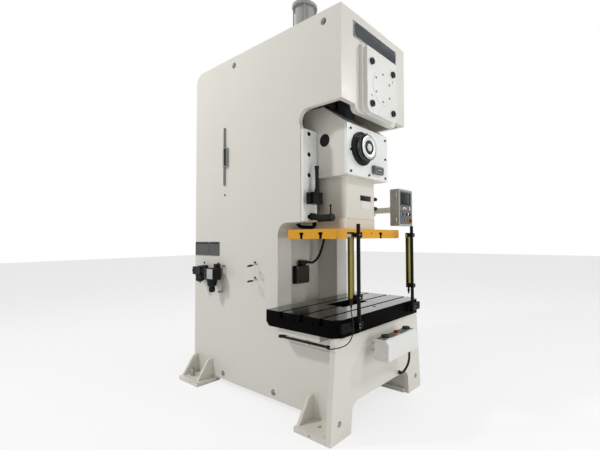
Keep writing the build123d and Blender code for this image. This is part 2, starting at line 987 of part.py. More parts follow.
def counterbalance_cylinders():
    """Two air cylinders that carry the weight of the slide, through the crown top."""
    barrel = bar_z(balance_x, ear_y, balance_bottom, balance_top, balance_radius)
    barrel -= bar_z(balance_x, ear_y, balance_bottom + balance_floor, balance_top, balance_bore)
    barrel -= bar_z(balance_x, ear_y, balance_bottom - 1, balance_top,
                    balance_rod_radius + shaft_gap)
    barrel += bar_z(balance_x, ear_y, balance_top, balance_top + balance_cap_thick,
                    balance_cap_radius)
    ring_top = frame_height + balance_ring_thick
    ring = bar_z(balance_x, ear_y, frame_height, ring_top, balance_cap_radius)
    barrel += ring - bar_z(balance_x, ear_y, frame_height - 1, ring_top + 1, balance_ring_inner)
    for i in range(4):
        angle = radians(45 + 90 * i)
        barrel += bar_z(balance_x + balance_tie_ring * cos(angle),
                        ear_y + balance_tie_ring * sin(angle), ring_top, balance_top,
                        balance_tie_radius)
    return both_sides(barrel)


def balance_rods():
    """The piston rods that stand on the ears of the slide."""
    piston = balance_top - piston_drop
    rod = bar_z(balance_x, ear_y, slide_top + ear_thick, piston, balance_rod_radius)
    rod += bar_z(balance_x, ear_y, piston, piston + piston_thick, balance_bore - shaft_gap)
    return both_sides(rod)


def level_gauge():
    """The oil level gauge on the left side, with its float switch."""
    x = -half_frame
    tube = rectangle_points(gauge_y - gauge_half, gauge_y + gauge_half, gauge_bottom, gauge_top)
    part = along(outline(tube, [gauge_half - 0.1] * 4), x - gauge_depth, x)
    body = rectangle_points(gauge_block_front, gauge_y + gauge_half, gauge_block_bottom,
                            gauge_block_top)
    part += along(outline(body, [gauge_block_round] * 4), x - gauge_block_depth, x)
    middle = (gauge_block_front + gauge_y - gauge_half) / 2 - gauge_slot_half
    for z in gauge_slot_zs:
        slot = rectangle_points(middle, middle + 2 * gauge_slot_half,
                                z - gauge_slot_height / 2, z + gauge_slot_height / 2)
        part -= along(outline(slot, [gauge_slot_half - 2] * 4), x - gauge_block_depth - 1,
                      x - gauge_depth)
    return part


def side_vent():
    """Two louvred panels at the back of the left side."""
    x = -half_frame
    back = frame_depth - vent_inset
    panels = []
    for width in vent_widths:
        panel = block(x - vent_depth, x, back - width, back, vent_bottom, vent_top)
        for i in range(louvre_count):
            z = vent_bottom + louvre_border + i * louvre_pitch
            panel -= block(x - vent_depth - 1, x - vent_depth + louvre_depth,
                           back - width + louvre_border, back - louvre_border,
                           z, z + louvre_height)
        panels.append(panel)
        back -= width + vent_joint
    return Compound(children=panels)


def air_filter():
    """The filter of the air supply, with its bowl and bracket."""
    x = -air_x
    top = filter_bottom + filter_height
    bowl = filter_bottom - filter_bowl_height
    part = block(x - air_body_half, x + air_body_half, filter_y - filter_half,
                 filter_y + filter_half, filter_bottom, top)
    part += block(x + air_body_half, -half_frame, filter_y - bracket_half,
                  filter_y + bracket_half, filter_bottom + bracket_half, top + bracket_half / 2)
    part += bar_z(x, filter_y, bowl, filter_bottom, filter_bowl_radius)
    part += bar_z(x, filter_y, bowl - filter_drain_height, bowl, filter_drain_radius)
    return part


def air_regulator():
    """The regulator of the air supply, with its round dial."""
    x = -air_x
    face = x - air_body_half
    top = regulator_bottom + regulator_height
    part = block(face, x + air_body_half, regulator_y - regulator_half,
                 regulator_y + regulator_half, regulator_bottom, top)
    part += block(x + air_body_half, -half_frame, regulator_y - bracket_half,
                  regulator_y + bracket_half, top - 2 * bracket_half, top + 2 * bracket_half)
    part += bar_z(x, regulator_y, regulator_bottom - bonnet_height, regulator_bottom,
                  bonnet_radius)
    part += bar_x(dial_y, top - 2 * bracket_half, face - dial_depth, face, dial_radius)
    nipple_end = filter_y - filter_half
    part += bar_y(x, filter_bottom + bracket_half, regulator_y + regulator_half, nipple_end,
                  nipple_radius)
    return part


def regulator_knob():
    """The knob under the regulator."""
    top = regulator_bottom - bonnet_height - flush
    return bar_z(-air_x, regulator_y, top - knob_height, top, knob_radius)


def air_pipe():
    """The copper pipe beside the regulator."""
    x = -half_frame - pipe_stand
    foot_y = pipe_y + pipe_run
    line = FilletPolyline((x, pipe_y, pipe_top), (x, pipe_y, pipe_bottom),
                          (x, foot_y, pipe_bottom), radius=pipe_bend)
    start = Plane(origin=(x, pipe_y, pipe_top), z_dir=(0, 0, -1))
    part = sweep(start * Circle(pipe_radius), path=line)
    for y, z in ((pipe_y, pipe_top), (foot_y, pipe_bottom)):
        part += bar_x(y, z, -half_frame - pipe_fitting_out, -half_frame, pipe_fitting_radius)
    return part


def tool_rings():
    """Two ring holders for a spanner, each on its own arm."""
    wall = -half_frame
    rings = []
    for z in ring_zs:
        top = z + ring_thick
        ring = bar_z(-ring_x, ring_y, z, top, ring_outer)
        ring -= bar_z(-ring_x, ring_y, z - 1, top + 1, ring_inner)
        ring += block(-ring_x + ring_inner + 3, wall - ring_thick, ring_y - ring_arm_half,
                      ring_y + ring_arm_half, z, top)
        ring += block(wall - ring_thick, wall, ring_y - ring_tab_half, ring_y + ring_tab_half,
                      z - ring_tab_below, z + ring_tab_above)
        rings.append(ring)
    return Compound(children=rings)


def lube_distributor():
    """The lubrication block on the left gib, with its ports and stem."""
    left, right = -lube_x - lube_half, -lube_x + lube_half
    top = lube_bottom + lube_height
    front = gib_front - lube_depth
    middle = gib_front - lube_depth / 2
    part = block(left, right, front, gib_front, lube_bottom, top)
    for z in lube_port_zs:
        part += bar_x(middle, z, left - lube_port_out, left, lube_port_radius)
        part += bar_x(middle, z, right, right + lube_port_in, lube_port_radius)
    stem_y = front + lube_stem_collar - 2
    head = top + lube_stem_height
    part += bar_z(-lube_stem_x, stem_y, top, head, lube_stem_radius)
    part += bar_z(-lube_stem_x, stem_y, top, top + lube_collar_height, lube_stem_collar)
    part += bar_z(-lube_stem_x, stem_y, head - 15, head + 10, lube_stem_cap)
    return part


def limit_switch():
    """The height switch in front of the left gib, on its bracket."""
    x, z = -switch_x, switch_z
    barrel = bar_y(x, z, switch_front, switch_back, switch_radius)
    barrel += bar_z(x, switch_rod_y, z, switch_rod_top, switch_rod_radius)
    bracket = outline([(gib_front, z + 48), (gib_front, z - 12), (switch_back - 20, z - 22),
                       (switch_back - 20, z + 28)], [0, 0, 0, 0])
    return barrel + along(bracket, x - switch_bracket_half, x + switch_bracket_half)


def cable_conduit():
    """The steel conduit under the left ledge, with its end caps."""
    front = conduit_front + conduit_cap_length
    back = conduit_back - conduit_cap_length
    part = bar_y(-conduit_x, conduit_z, front, back, conduit_radius)
    part += bar_y(-conduit_x, conduit_z, conduit_front, front, conduit_cap)
    part += bar_y(-conduit_x, conduit_z, back, conduit_back, conduit_cap)
    part += bar_x(back + conduit_cap_length / 2, conduit_z, -conduit_x, -half_frame,
                  conduit_radius)
    return part


def curtain_posts():
    """The round posts of the light curtains, with brackets on the bolster."""
    part = bar_z(post_x, post_y, post_bottom, post_top, post_radius)
    low = post_clamp_z - 10
    high = post_clamp_z + post_clamp_height + 10
    points = [(post_foot_left, low), (post_foot_right, low), (post_foot_right, high),
              (post_x + 10, high), (post_foot_left, high - 30)]
    foot_front = bolster_front - post_foot_thick
    part += across(outline(points, [post_foot_round] * 5), foot_front, bolster_front)
    part += block(post_x - post_clamp_half, post_x + post_clamp_half, post_y - 20,
                  foot_front + 1, post_clamp_z, post_clamp_z + post_clamp_height)
    for z in grip_zs:
        part += block(post_x - grip_half, post_x + grip_half, post_y - grip_half,
                      curtain_back, z, z + grip_height)
    return both_sides(part)


def light_curtains():
    """The sender and receiver bars beside the die space."""
    left, right = curtain_x - curtain_half, curtain_x + curtain_half
    bar = block(left, right, curtain_back, curtain_back + curtain_depth, curtain_bottom,
                curtain_top)
    bar -= block(left - 1, left + lens_sink, curtain_y - lens_half, curtain_y + lens_half,
                 curtain_bottom + lens_border, curtain_top - lens_border)
    collar = curtain_bottom - curtain_collar
    bar += bar_z(curtain_x, curtain_y, collar, curtain_bottom, curtain_collar_radius)
    bar += bar_z(curtain_x, curtain_y, curtain_cable[0][2], collar, curtain_plug_radius)
    return both_sides(bar)


def two_hand_box():
    """The desk of the two-hand control, on two arms from the bed."""
    points = [(desk_front, desk_bottom + 18), (desk_front + 12, desk_bottom),
              (desk_back, desk_bottom), (desk_back, desk_top), (desk_front + 26, desk_top),
              (desk_front, desk_top - 34)]
    part = along(outline(points, [6, 0, 6, 6, 14, 14]), -desk_half, desk_half)
    pad_back = bed_plate_front
    pad_front = pad_back - desk_pad_thick
    middle = desk_arm_bottom + desk_arm_height / 2
    for x in (-desk_arm_x, desk_arm_x):
        part += block(x - desk_arm_half, x + desk_arm_half, desk_back, pad_front,
                      desk_arm_bottom, desk_arm_bottom + desk_arm_height)
        part += block(x - desk_pad_half, x + desk_pad_half, pad_front, pad_back,
                      middle - desk_pad_half, middle + desk_pad_half)
    for x, radius in ((-palm_x, palm_ring), (0, stop_ring), (palm_x, palm_ring)):
        part += bar_z(x, palm_y, desk_top, desk_top + palm_step, radius)
        part -= bar_z(x, palm_y, desk_top - 5 * palm_travel, desk_top + palm_step + 1,
                      palm_stem + palm_clear)
    return part


def palm_button(x, radius):
    """A mushroom button with its stem in the desk."""
    seat = desk_top + palm_step + palm_travel + 1
    stem = bar_z(x, palm_y, desk_top - 3 * palm_travel, seat, palm_stem)
    head = Pos(x, palm_y, seat) * Cylinder(radius, palm_head, align=CENTRE_MIN)
    head = fillet(head.edges().group_by(Axis.Z)[-1], 5)
    return stem + head


def junction_box():
    """The connector box on the back wall of the throat."""
    front = back_web_y - junction_depth
    post_y = back_web_y - junction_post_radius
    gland_x, gland_y, gland_z = hose[0]
    part = block(junction_left, junction_right, front, back_web_y, junction_bottom,
                 junction_top)
    part += bar_z(junction_post_x, post_y, junction_top, junction_top + junction_post_height,
                  junction_post_radius)
    part += bar_x(gland_y, gland_z, junction_post_x, gland_x, junction_gland_radius)
    return part


def motor():
    """The electric motor on its shelf."""
    back = motor_front + motor_length
    part = bar_y(0, motor_z, motor_front, back, motor_radius)
    fin = block(-fin_thick / 2, fin_thick / 2, motor_front + fin_front, back - fin_back,
                0, motor_radius + fin_rise)
    for i in range(fin_count):
        part += Pos(0, 0, motor_z) * Rot(0, 360 * i / fin_count, 0) * fin
    part += block(-motor_foot_half, motor_foot_half, motor_front + fin_front + 10,
                  back - fin_back - 10, shelf_z + shelf_thick, motor_z - motor_foot_drop)
    part -= bar_y(0, motor_z, motor_front - 1, motor_front + motor_shaft_seat,
                  motor_shaft_radius + shaft_gap)
    return part


def belt_y(index):
    """The middle of one belt along the shafts."""
    middle = flywheel_front + flywheel_width / 2
    return middle + (index - (belt_count - 1) / 2) * belt_pitch


def belt_grooves(z, radius):
    """The room of the belts in a pulley rim."""
    half = belt_width / 2 + belt_clear
    rings = []
    for i in range(belt_count):
        y = belt_y(i)
        ring = bar_y(0, z, y - half, y + half, radius + belt_depth)
        rings.append(ring - bar_y(0, z, y - belt_width, y + belt_width,
                                  radius - belt_depth - belt_clear))
    return rings


def v_belts():
    """The drive belts from the motor to the flywheel."""
    belts = []
    for i in range(belt_count):
        y = belt_y(i)
        outer = belt_loop(flywheel_radius, pulley_radius)
        inner = belt_loop(flywheel_radius - belt_depth, pulley_radius - belt_depth)
        belts.append(across(outer - inner, y - belt_width / 2, y + belt_width / 2))
    return Compound(children=belts)


def belt_loop(radius_above, radius_below):
    """The outline that a belt makes round the flywheel and the motor pulley."""
    above = Pos(0, pinion_z) * Circle(radius_above)
    below = Pos(0, motor_z) * Circle(radius_below)
    return make_hull((above + below).edges())


def flywheel():
    """The flywheel, turning on the pinion shaft."""
    y0, y1 = flywheel_front, flywheel_front + flywheel_width
    inside = flywheel_radius - flywheel_rim
    part = bar_y(0, pinion_z, y0, y1, flywheel_radius)
    part -= bar_y(0, pinion_z, y0 - 1, y0 + flywheel_sink, inside)
    part -= bar_y(0, pinion_z, y1 - flywheel_sink, y1 + 1, inside)
    part += bar_y(0, pinion_z, y0 + flywheel_hub_out, y1 + flywheel_hub_out,
                  flywheel_hub_radius)
    for ring in belt_grooves(pinion_z, flywheel_radius):
        part -= ring
    return part - bar_y(0, pinion_z, y0 - 1, y1 + 2 * flywheel_hub_out,
                        pinion_shaft_radius + shaft_gap)


def gear_outline(teeth, phase):
    """The outline of a spur gear; phase is the angle of one tooth in degrees."""
    pitch = gear_module * teeth / 2
    angle = radians(pressure_angle)
    base = pitch * cos(angle)
    tip = pitch + gear_module
    root = pitch - 1.25 * gear_module
    half = pi / (2 * teeth) - backlash / (2 * pitch) + tan(angle) - angle
    low = max(base, root)

    def half_angle(radius):
        roll = acos(min(1, base / radius))
        return half - (tan(roll) - roll)

    flank = [(radius, half_angle(radius)) for radius in (tip, pitch, low)]
    if root < low:
        flank.append((root, half_angle(low) + 0.02))
    tooth = [(radius, -turn) for radius, turn in reversed(flank)] + flank
    points = []
    for i in range(teeth):
        centre = radians(phase) + 2 * pi * i / teeth
        for radius, turn in tooth:
            points.append((radius * sin(centre + turn), radius * cos(centre + turn)))
    return make_face(Polyline(*points, close=True))


def main_gear():
    """The large gear on the crankshaft."""
    y1 = gear_front + gear_width
    part = across(Pos(0, crank_z) * gear_outline(gear_teeth, 180), gear_front, y1)
    rim = gear_module * gear_teeth / 2 - gear_rim
    part -= bar_y(0, crank_z, gear_front - 1, gear_front + gear_web_sink, rim)
    part -= bar_y(0, crank_z, y1 - gear_web_sink, y1 + 1, rim)
    part += bar_y(0, crank_z, gear_front, y1, gear_hub_radius)
    for i in range(gear_hole_count):
        turn = 2 * pi * i / gear_hole_count
        part -= bar_y(gear_hole_ring * sin(turn), crank_z + gear_hole_ring * cos(turn),
                      gear_front, y1, gear_hole_radius)
    return part - bar_y(0, crank_z, gear_front - 1, y1 + 1, journal_radius + flush)


def pinion_shaft():
    """The pinion with its shaft and the clutch and brake drum on it."""
    part = bar_y(0, pinion_z, bearing_wall_y + 5,
                 flywheel_front + flywheel_width + shaft_end_out, pinion_shaft_radius)
    clutch = flywheel_front - clutch_gap
    part += bar_y(0, pinion_z, drive_wall_y + drive_wall_thick + clutch_gap, clutch,
                  clutch_radius)
    part += bar_y(0, pinion_z, clutch, flywheel_front - clutch_nose_gap, clutch_nose_radius)
    teeth = Pos(0, pinion_z) * gear_outline(pinion_teeth, 180 / pinion_teeth)
    return part + across(teeth, gear_front - pinion_overhang,
                         gear_front + gear_width + pinion_overhang)


def motor_pulley():
    """The small pulley with the motor shaft."""
    middle = flywheel_front + flywheel_width / 2
    part = bar_y(0, motor_z, middle - pulley_width / 2, middle + pulley_width / 2,
                 pulley_radius)
    for ring in belt_grooves(motor_z, pulley_radius):
        part -= ring
    return part + bar_y(0, motor_z, middle, motor_front + motor_shaft_seat - 10,
                        motor_shaft_radius)


def crankshaft():
    """The crankshaft, with its pin up as the slide stands at the top."""
    pin_front = slide_y - web_gap / 2
    pin_back = slide_y + web_gap / 2
    part = bar_y(0, crank_z, 5, pin_front, journal_radius)
    part += bar_y(0, crank_z, pin_back, drive_wall_y + drive_wall_thick + 20, journal_radius)
    web = make_hull((Circle(web_foot_radius) + Pos(0, throw) * Circle(web_radius)).edges())
    part += across(Pos(0, crank_z) * web, pin_front - web_thick, pin_front)
    part += across(Pos(0, crank_z) * web, pin_back, pin_back + web_thick)
    return part + bar_y(0, crank_z + throw, pin_front, pin_back, crankpin_radius)


def connecting_rod():
    """The rod from the crankpin to its ball end in the slide."""
    y0 = slide_y - web_gap / 2 + rod_side_gap
    y1 = slide_y + web_gap / 2 - rod_side_gap
    pin_z = crank_z + throw
    part = bar_y(0, pin_z, y0, y1, rod_eye_radius)
    wide = rod_half + rod_flare
    narrow = rod_half - rod_taper
    waist = ball_z + 2 * ball_radius
    shank = outline([(-wide, pin_z), (-rod_half, waist), (-narrow, ball_z), (narrow, ball_z),
                     (rod_half, waist), (wide, pin_z)], [0] * 6)
    part += across(shank, slide_y - rod_thick / 2, slide_y + rod_thick / 2)
    part += Pos(0, slide_y, ball_z) * Sphere(ball_radius)
    return part - bar_y(0, pin_z, y0 - 1, y1 + 1, crankpin_radius + shaft_gap)


def adjusting_screw():
    """The height screw in the slide, with the dish under the rod's ball."""
    part = bar_z(0, slide_y, screw_top - screw_length, screw_top, screw_radius)
    dish = Pos(0, slide_y, screw_top + dish_rise) * Sphere(ball_radius + dish_clear)
    return part - dish


def slide_body():
    """The slide, with its guide wings, neck and rod room."""
    points = [(slide_front, slide_bottom), (slide_front, slide_shoulder),
              (slide_slope_y, slide_top), (slide_back, slide_top), (slide_back, slide_bottom)]
    part = along(outline(points, [0, 0, slide_slope_round, 0, 0]), -slide_half, slide_half)
    wing_front = throat_edge + guide_clear
    part += block(-wing_half, wing_half, wing_front, wing_front + wing_thick,
                  slide_bottom, gib_top - wing_top_drop)
    neck = rectangle_points(-neck_half, neck_half, neck_front, neck_back)
    part += flat(outline(neck, [neck_round] * 4), neck_bottom, slide_bottom)
    base = rectangle_points(-neck_foot_half, neck_foot_half, neck_front + neck_foot_grow,
                            neck_back + neck_foot_grow)
    part += flat(outline(base, [neck_round] * 4), neck_foot_bottom, neck_bottom)
    part += block(-ear_half, ear_half, ear_y - ear_width / 2, ear_y + ear_width / 2,
                  slide_top, slide_top + ear_thick)
    part -= block(-rod_room_left, rod_room_right, slide_y - rod_room_y,
                  slide_y + rod_room_y, screw_top, slide_top + 10)
    part -= bar_z(0, slide_y, screw_top - screw_length - screw_travel - screw_end_gap,
                  screw_top + 1, screw_radius + flush)
    part -= bar_x(slide_hole_y, slide_hole_z, -slide_half - 1, -rod_room_left + 1,
                  slide_hole_radius)
    return part


def slide_cover():
    """The plate on the front of the slide."""
    points = rectangle_points(-slide_half, slide_half, cover_bottom, cover_top)
    return across(outline(points, [cover_round] * 4), slide_seat, slide_front)


def slide_plate():
    """The plate under the slide, with T-slots for the upper die."""
    bottom = neck_foot_bottom - slide_plate_thick
    part = block(-slide_plate_half, slide_plate_half, slide_plate_front, slide_plate_back,
                 bottom, neck_foot_bottom)
    for y in slide_plate_slots:
        slot = tee_slot_x(0, slide_plate_half + 1, 0)
        part -= Pos(0, y, bottom) * Rot(180, 0, 0) * slot
    for x in (-cross_slot_x, cross_slot_x):
        slot = tee_slot_x(0, slide_plate_back, 0)
        part -= Pos(x, slide_y, bottom) * Rot(0, 0, 90) * Rot(180, 0, 0) * slot
    return part - bar_y(plate_tap_x, bottom + plate_tap_z, slide_plate_front - 1,
                        slide_plate_front + side_tap_depth, side_tap_radius)


def adjuster_drum():
    """The round unit on the slide cover that shows and drives the height."""
    base = slide_seat - drum_base_thick
    part = bar_y(drum_x, drum_z, base, slide_seat, drum_base_radius)
    part += bar_y(drum_x, drum_z, drum_face, base, drum_radius)
    part -= bar_y(drum_x, drum_z, drum_face - 1, drum_face + drum_sink, drum_ring_radius)
    part += bar_y(drum_x, drum_z, drum_face - 2, drum_face + drum_sink, drum_hub_radius)
    lug_foot = drum_z + drum_radius - drum_lug_root
    return part + bar_z(drum_x + drum_lug_shift, slide_seat - drum_lug_stand, lug_foot,
                        lug_foot + drum_lug_height, drum_lug_radius)


def height_indicator():
    """The small counter box beside the drum."""
    points = rectangle_points(counter_left, counter_right, counter_bottom, counter_top)
    front = slide_seat - counter_depth
    part = across(outline(points, [counter_round] * 4), front, slide_seat)
    return part - block(counter_left + counter_side, counter_right - counter_side, front - 1,
                        front + counter_sink, counter_bottom + counter_low,
                        counter_top - counter_low)


def slide_bolts():
    """The screws of the slide cover."""
    spots = [(x, z) for x in (-cover_screw_x, cover_screw_x) for z in cover_screw_zs]
    head = bar_z(0, 0, 0, cover_head_height, cover_head_radius)
    return Compound(children=[facing_front(x, slide_seat, z, head)
                              for x, z in spots + [cover_screw_low]])


def pendant_arm():
    """The square arm that carries the pendant, with its pivot boss."""
    top = arm_bottom + arm_size
    half = arm_size / 2
    part = block(arm_x - half, arm_x + half, pendant_back, pivot_y, arm_bottom, top)
    part -= block(arm_x - half + arm_wall, arm_x + half - arm_wall, pendant_back + 10,
                  pivot_y - 50, arm_bottom + arm_wall, top - arm_wall)
    part += bar_z(arm_x, pivot_y, arm_bottom, top, arm_boss_radius)
    return part - bar_z(arm_x, pivot_y, arm_bottom - 1, top + 1, arm_pin_radius + shaft_gap)


def pendant_bracket():
    """The bracket and pin on the right side plate that the arm turns on."""
    low = arm_bottom - arm_fork_gap
    high = arm_bottom + arm_size + arm_fork_gap
    front, back = pivot_y - arm_fork_front, pivot_y + arm_fork_back
    part = bar_z(arm_x, pivot_y, low, high, arm_pin_radius)
    for z in (low - arm_fork_thick, high):
        part += block(half_frame, arm_x + arm_boss_radius, front, back, z, z + arm_fork_thick)
    part += block(half_frame, half_frame + 16, pivot_y - 5, back + arm_boss_radius, low - 58,
                  high + 58)
    return part


def pendant_box():
    """The control box at the end of the arm."""
    points = rectangle_points(pendant_left, pendant_right, pendant_bottom, pendant_top)
    part = across(outline(points, [10] * 4), pendant_front, pendant_back)
    border = pendant_border
    field = rectangle_points(pendant_left + border, pendant_right - border,
                             pendant_bottom + border, pendant_top - border)
    part -= across(outline(field, [6] * 4), pendant_front - 1, pendant_front + pendant_sink)
    return part - bar_y(pendant_stop_x, pendant_stop_z, pendant_front - 1, pendant_front + 40,
                        pendant_stem + stem_clear)


def pendant_stop():
    """The stop button of the pendant."""
    face = pendant_front + pendant_sink
    x, z = pendant_stop_x, pendant_stop_z
    part = bar_y(x, z, face - 8, face + 20, pendant_stem)
    return part + bar_y(x, z, face - 22, face - 8, pendant_stop_radius)


def rear_panel():
    """The fixed panel at the back, over the door, with vents for the motor."""
    part = block(-inner_half, inner_half, frame_depth - panel_thick, frame_depth,
                 panel_bottom, panel_top)
    for i in range(panel_slot_count):
        z = panel_bottom + panel_slot_first + i * panel_slot_pitch
        points = rectangle_points(-panel_slot_half, panel_slot_half, z, z + panel_slot_height)
        part -= across(outline(points, [panel_slot_height / 2 - 0.1] * 4),
                       frame_depth - panel_thick - 1, frame_depth + 1)
    return part


def rear_door():
    """The door of the electrical space at the back."""
    y0 = frame_depth + door_gap
    y1 = y0 + door_thick
    points = rectangle_points(-door_half, door_half, door_bottom, door_top)
    part = across(outline(points, [8] * 4), y0, y1)
    x = -door_half - hinge_out
    for z in (door_bottom + hinge_inset, door_top - hinge_inset):
        low, high = z - hinge_half, z + hinge_half
        part += bar_z(x, y1, low, high, hinge_radius)
        part += block(x, -door_half + 5, y0 + 4, y1, low, high)
        part -= bar_z(x, y1, low - 1, high + 1, hinge_pin_radius + shaft_gap)
    return part - bar_y(handle_x, handle_z, y0 - 1, y1 + 5,
                        handle_post_radius + stem_clear)


def door_hinges():
    """The hinge pins of the rear door, on the left side plate."""
    y1 = frame_depth + door_gap + door_thick
    x = -door_half - hinge_out
    eye = hinge_pin_half - hinge_half - 1
    pins = []
    for z in (door_bottom + hinge_inset, door_top - hinge_inset):
        pin = bar_z(x, y1, z - hinge_pin_half, z + hinge_pin_half, hinge_pin_radius)
        for low in (z - hinge_pin_half, z + hinge_half + 1):
            pin += bar_z(x, y1, low, low + eye, hinge_radius)
            pin += block(x - hinge_radius, x, frame_depth, y1, low, low + eye)
        pins.append(pin)
    return pins[0] + pins[1]


def door_handle():
    """The quarter-turn handle of the rear door."""
    y1 = frame_depth + door_gap + door_thick
    part = bar_y(handle_x, handle_z, y1 - 10, y1 + 20, handle_post_radius)
    part += block(handle_x - handle_half, handle_x + handle_half, y1 + 20, y1 + 34,
                  handle_z - handle_length + 20, handle_z + 20)
    return part


def cord(points, radius):
    """A cord as straight runs joined by tangent arcs, with the radii printed."""
    spots = [Vector(*p) for p in points]
    radii = []
    for before, here, after in zip(spots, spots[1:], spots[2:]):
        first = here - before
        second = after - here
        turn = radians(first.get_angle(second))
        radii.append(0.45 * min(first.length, second.length) / tan(turn / 2))
    path = FilletPolyline(*points, radius=radii)
    start = Plane(origin=points[0], z_dir=spots[1] - spots[0])
    tube = sweep(start * Circle(radius), path=path)
    print("radii", [round(r) for r in radii], "length", round(path.length))
    return tube


nodes = {
    "side_plate_left": side_plate(-half_frame) + door_hinges(),
    "side_plate_right": side_plate(inner_half),
    "pendant_bracket": pendant_bracket(),
    "throat_liners": throat_liners(),
    "back_web": back_web(),
    "crown_front_plate": crown_front_plate(),
    "crown_top_plate": crown_top_plate(),
    "cross_walls": Compound(children=[bearing_wall(), drive_wall(), motor_shelf()]),
    "shaft_bushes": shaft_bushes(),
    "guide_blocks": guide_blocks(),
    "front_gibs": front_gibs(),
    "frame_bolts": frame_bolts(),
    "bed_front_plate": bed_front_plate(),
    "bolster_seats": bolster_seats(),
    "feet": feet(),
    "bolster": bolster(),
    "crank_cover": crank_cover(),
    "counterbalance_cylinders": counterbalance_cylinders(),
    "level_gauge": level_gauge(),
    "side_vent": side_vent(),
    "air_filter": air_filter(),
    "air_regulator": air_regulator(),
    "regulator_knob": regulator_knob(),
    "air_pipe": air_pipe(),
    "tool_rings": tool_rings(),
    "lube_distributor": lube_distributor(),
    "limit_switch": limit_switch(),
    "cable_conduit": cable_conduit(),
    "curtain_posts": curtain_posts(),
    "light_curtains": light_curtains(),
    "two_hand_box": two_hand_box(),
    "palm_button_left": palm_button(-palm_x, palm_radius),
    "palm_button_right": palm_button(palm_x, palm_radius),
    "stop_button": palm_button(0, stop_radius),
    "junction_box": junction_box(),
    "motor": motor(),
    "motor_pulley": motor_pulley(),
    "v_belts": v_belts(),
    "flywheel": flywheel(),
    "pinion_shaft": pinion_shaft(),
    "main_gear": main_gear(),
    "crankshaft": crankshaft(),
    "connecting_rod": connecting_rod(),
    "adjusting_screw": adjusting_screw(),
    "balance_rods": balance_rods(),
    "slide_body": slide_body(),
    "slide_cover": slide_cover(),
    "slide_bolts": slide_bolts(),
    "slide_plate": slide_plate(),
    "adjuster_drum": adjuster_drum(),
    "height_indicator": height_indicator(),
    "pendant_arm": pendant_arm(),
    "pendant_box": pendant_box(),
    "pendant_stop": pendant_stop(),
    "rear_panel": rear_panel(),
    "rear_door": rear_door(),
    "door_handle": door_handle(),
    "curtain_cable": cord(curtain_cable, curtain_cable_radius),
    "two_hand_cable": cord(desk_cable, desk_cable_radius),
    "throat_hose": Compound(children=[cord(hose, hose_radius), cord(roof_hose, roof_hose_radius)]),
}

os.makedirs("parts", exist_ok=True)
for name, part in nodes.items():
    save(name, part)
print(len(nodes), "nodes")
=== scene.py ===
# %% [markdown]
# # A stamping press, dressed step by step
# A mechanical stamping press bends and punches sheet metal. A crank under the crown drives
# a slide down onto a thick steel table. The frame is a welded C, open at the front and the
# sides, so that an operator can feed sheet from three directions.
#
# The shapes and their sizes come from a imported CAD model, which is loaded as a fixed frame.
# This lesson gives every part its real finish, and models the small things that a maker
# would bolt, weld or press onto it.

# %% Load the press
from itertools import product
from math import cos, radians, sin

import bpy
from mathutils import Euler, Matrix, Vector


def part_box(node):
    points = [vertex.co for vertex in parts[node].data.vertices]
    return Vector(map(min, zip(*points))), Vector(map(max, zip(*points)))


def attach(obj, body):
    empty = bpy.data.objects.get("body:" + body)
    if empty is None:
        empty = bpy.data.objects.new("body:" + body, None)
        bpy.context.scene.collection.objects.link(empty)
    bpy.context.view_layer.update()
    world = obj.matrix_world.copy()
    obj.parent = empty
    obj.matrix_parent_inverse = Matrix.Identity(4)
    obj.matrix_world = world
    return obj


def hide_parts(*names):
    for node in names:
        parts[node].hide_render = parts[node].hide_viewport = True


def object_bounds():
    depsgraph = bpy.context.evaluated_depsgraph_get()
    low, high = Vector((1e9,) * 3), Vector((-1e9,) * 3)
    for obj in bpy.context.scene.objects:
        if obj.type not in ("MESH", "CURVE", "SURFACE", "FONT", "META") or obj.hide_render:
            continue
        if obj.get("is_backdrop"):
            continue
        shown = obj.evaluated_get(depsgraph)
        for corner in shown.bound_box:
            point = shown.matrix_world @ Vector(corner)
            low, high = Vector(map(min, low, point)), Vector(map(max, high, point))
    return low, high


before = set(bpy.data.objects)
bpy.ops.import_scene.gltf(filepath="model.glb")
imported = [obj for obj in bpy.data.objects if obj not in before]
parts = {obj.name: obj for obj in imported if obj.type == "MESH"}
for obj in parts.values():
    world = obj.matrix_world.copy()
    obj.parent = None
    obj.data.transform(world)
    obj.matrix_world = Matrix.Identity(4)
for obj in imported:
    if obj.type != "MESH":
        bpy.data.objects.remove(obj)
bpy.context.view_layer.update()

# %% [markdown]
# ## The camera
# The press was photographed from its front left corner, at the eye height of somebody
# who stood a little under four metres from its middle, with a short lens. The lens and the
# place of the camera were worked out from the edges of the frame, so they are numbers. A small
# sideways shift puts the press where it stood in the frame.

# %% Camera
camera_data = bpy.data.cameras.new("photo_lens")
camera_data.sensor_width = 36
camera_data.lens = 21.712
camera_data.shift_x = -0.0929
camera_data.shift_y = 0.0005
camera_data.clip_end = 200
camera = bpy.data.objects.new("photo_camera", camera_data)
bpy.context.collection.objects.link(camera)
lean, heading, roll = radians(92.05), radians(-52.73), radians(-0.42)
aim = Euler((lean, 0, heading)).to_matrix() @ Matrix.Rotation(roll, 3, "Z")
camera.matrix_world = Matrix.Translation((-2.6065, -2.7434, 1.4611)) @ aim.to_4x4()
bpy.context.scene.camera = camera
print("camera", [round(v, 3) for v in camera.location])

# %% [markdown]
# ## One way to add a node
# A material in Blender is a small graph. Writing each node by hand takes four or five
# lines, so one function adds a node, sets it and links its inputs. The others are the words
# of this lesson: a noise, a colour that drifts between two, a value spread over a range and
# a bump. Colours are written as a paint shop names them on a screen, as hex values, and
# turned to the linear values that a renderer adds up.

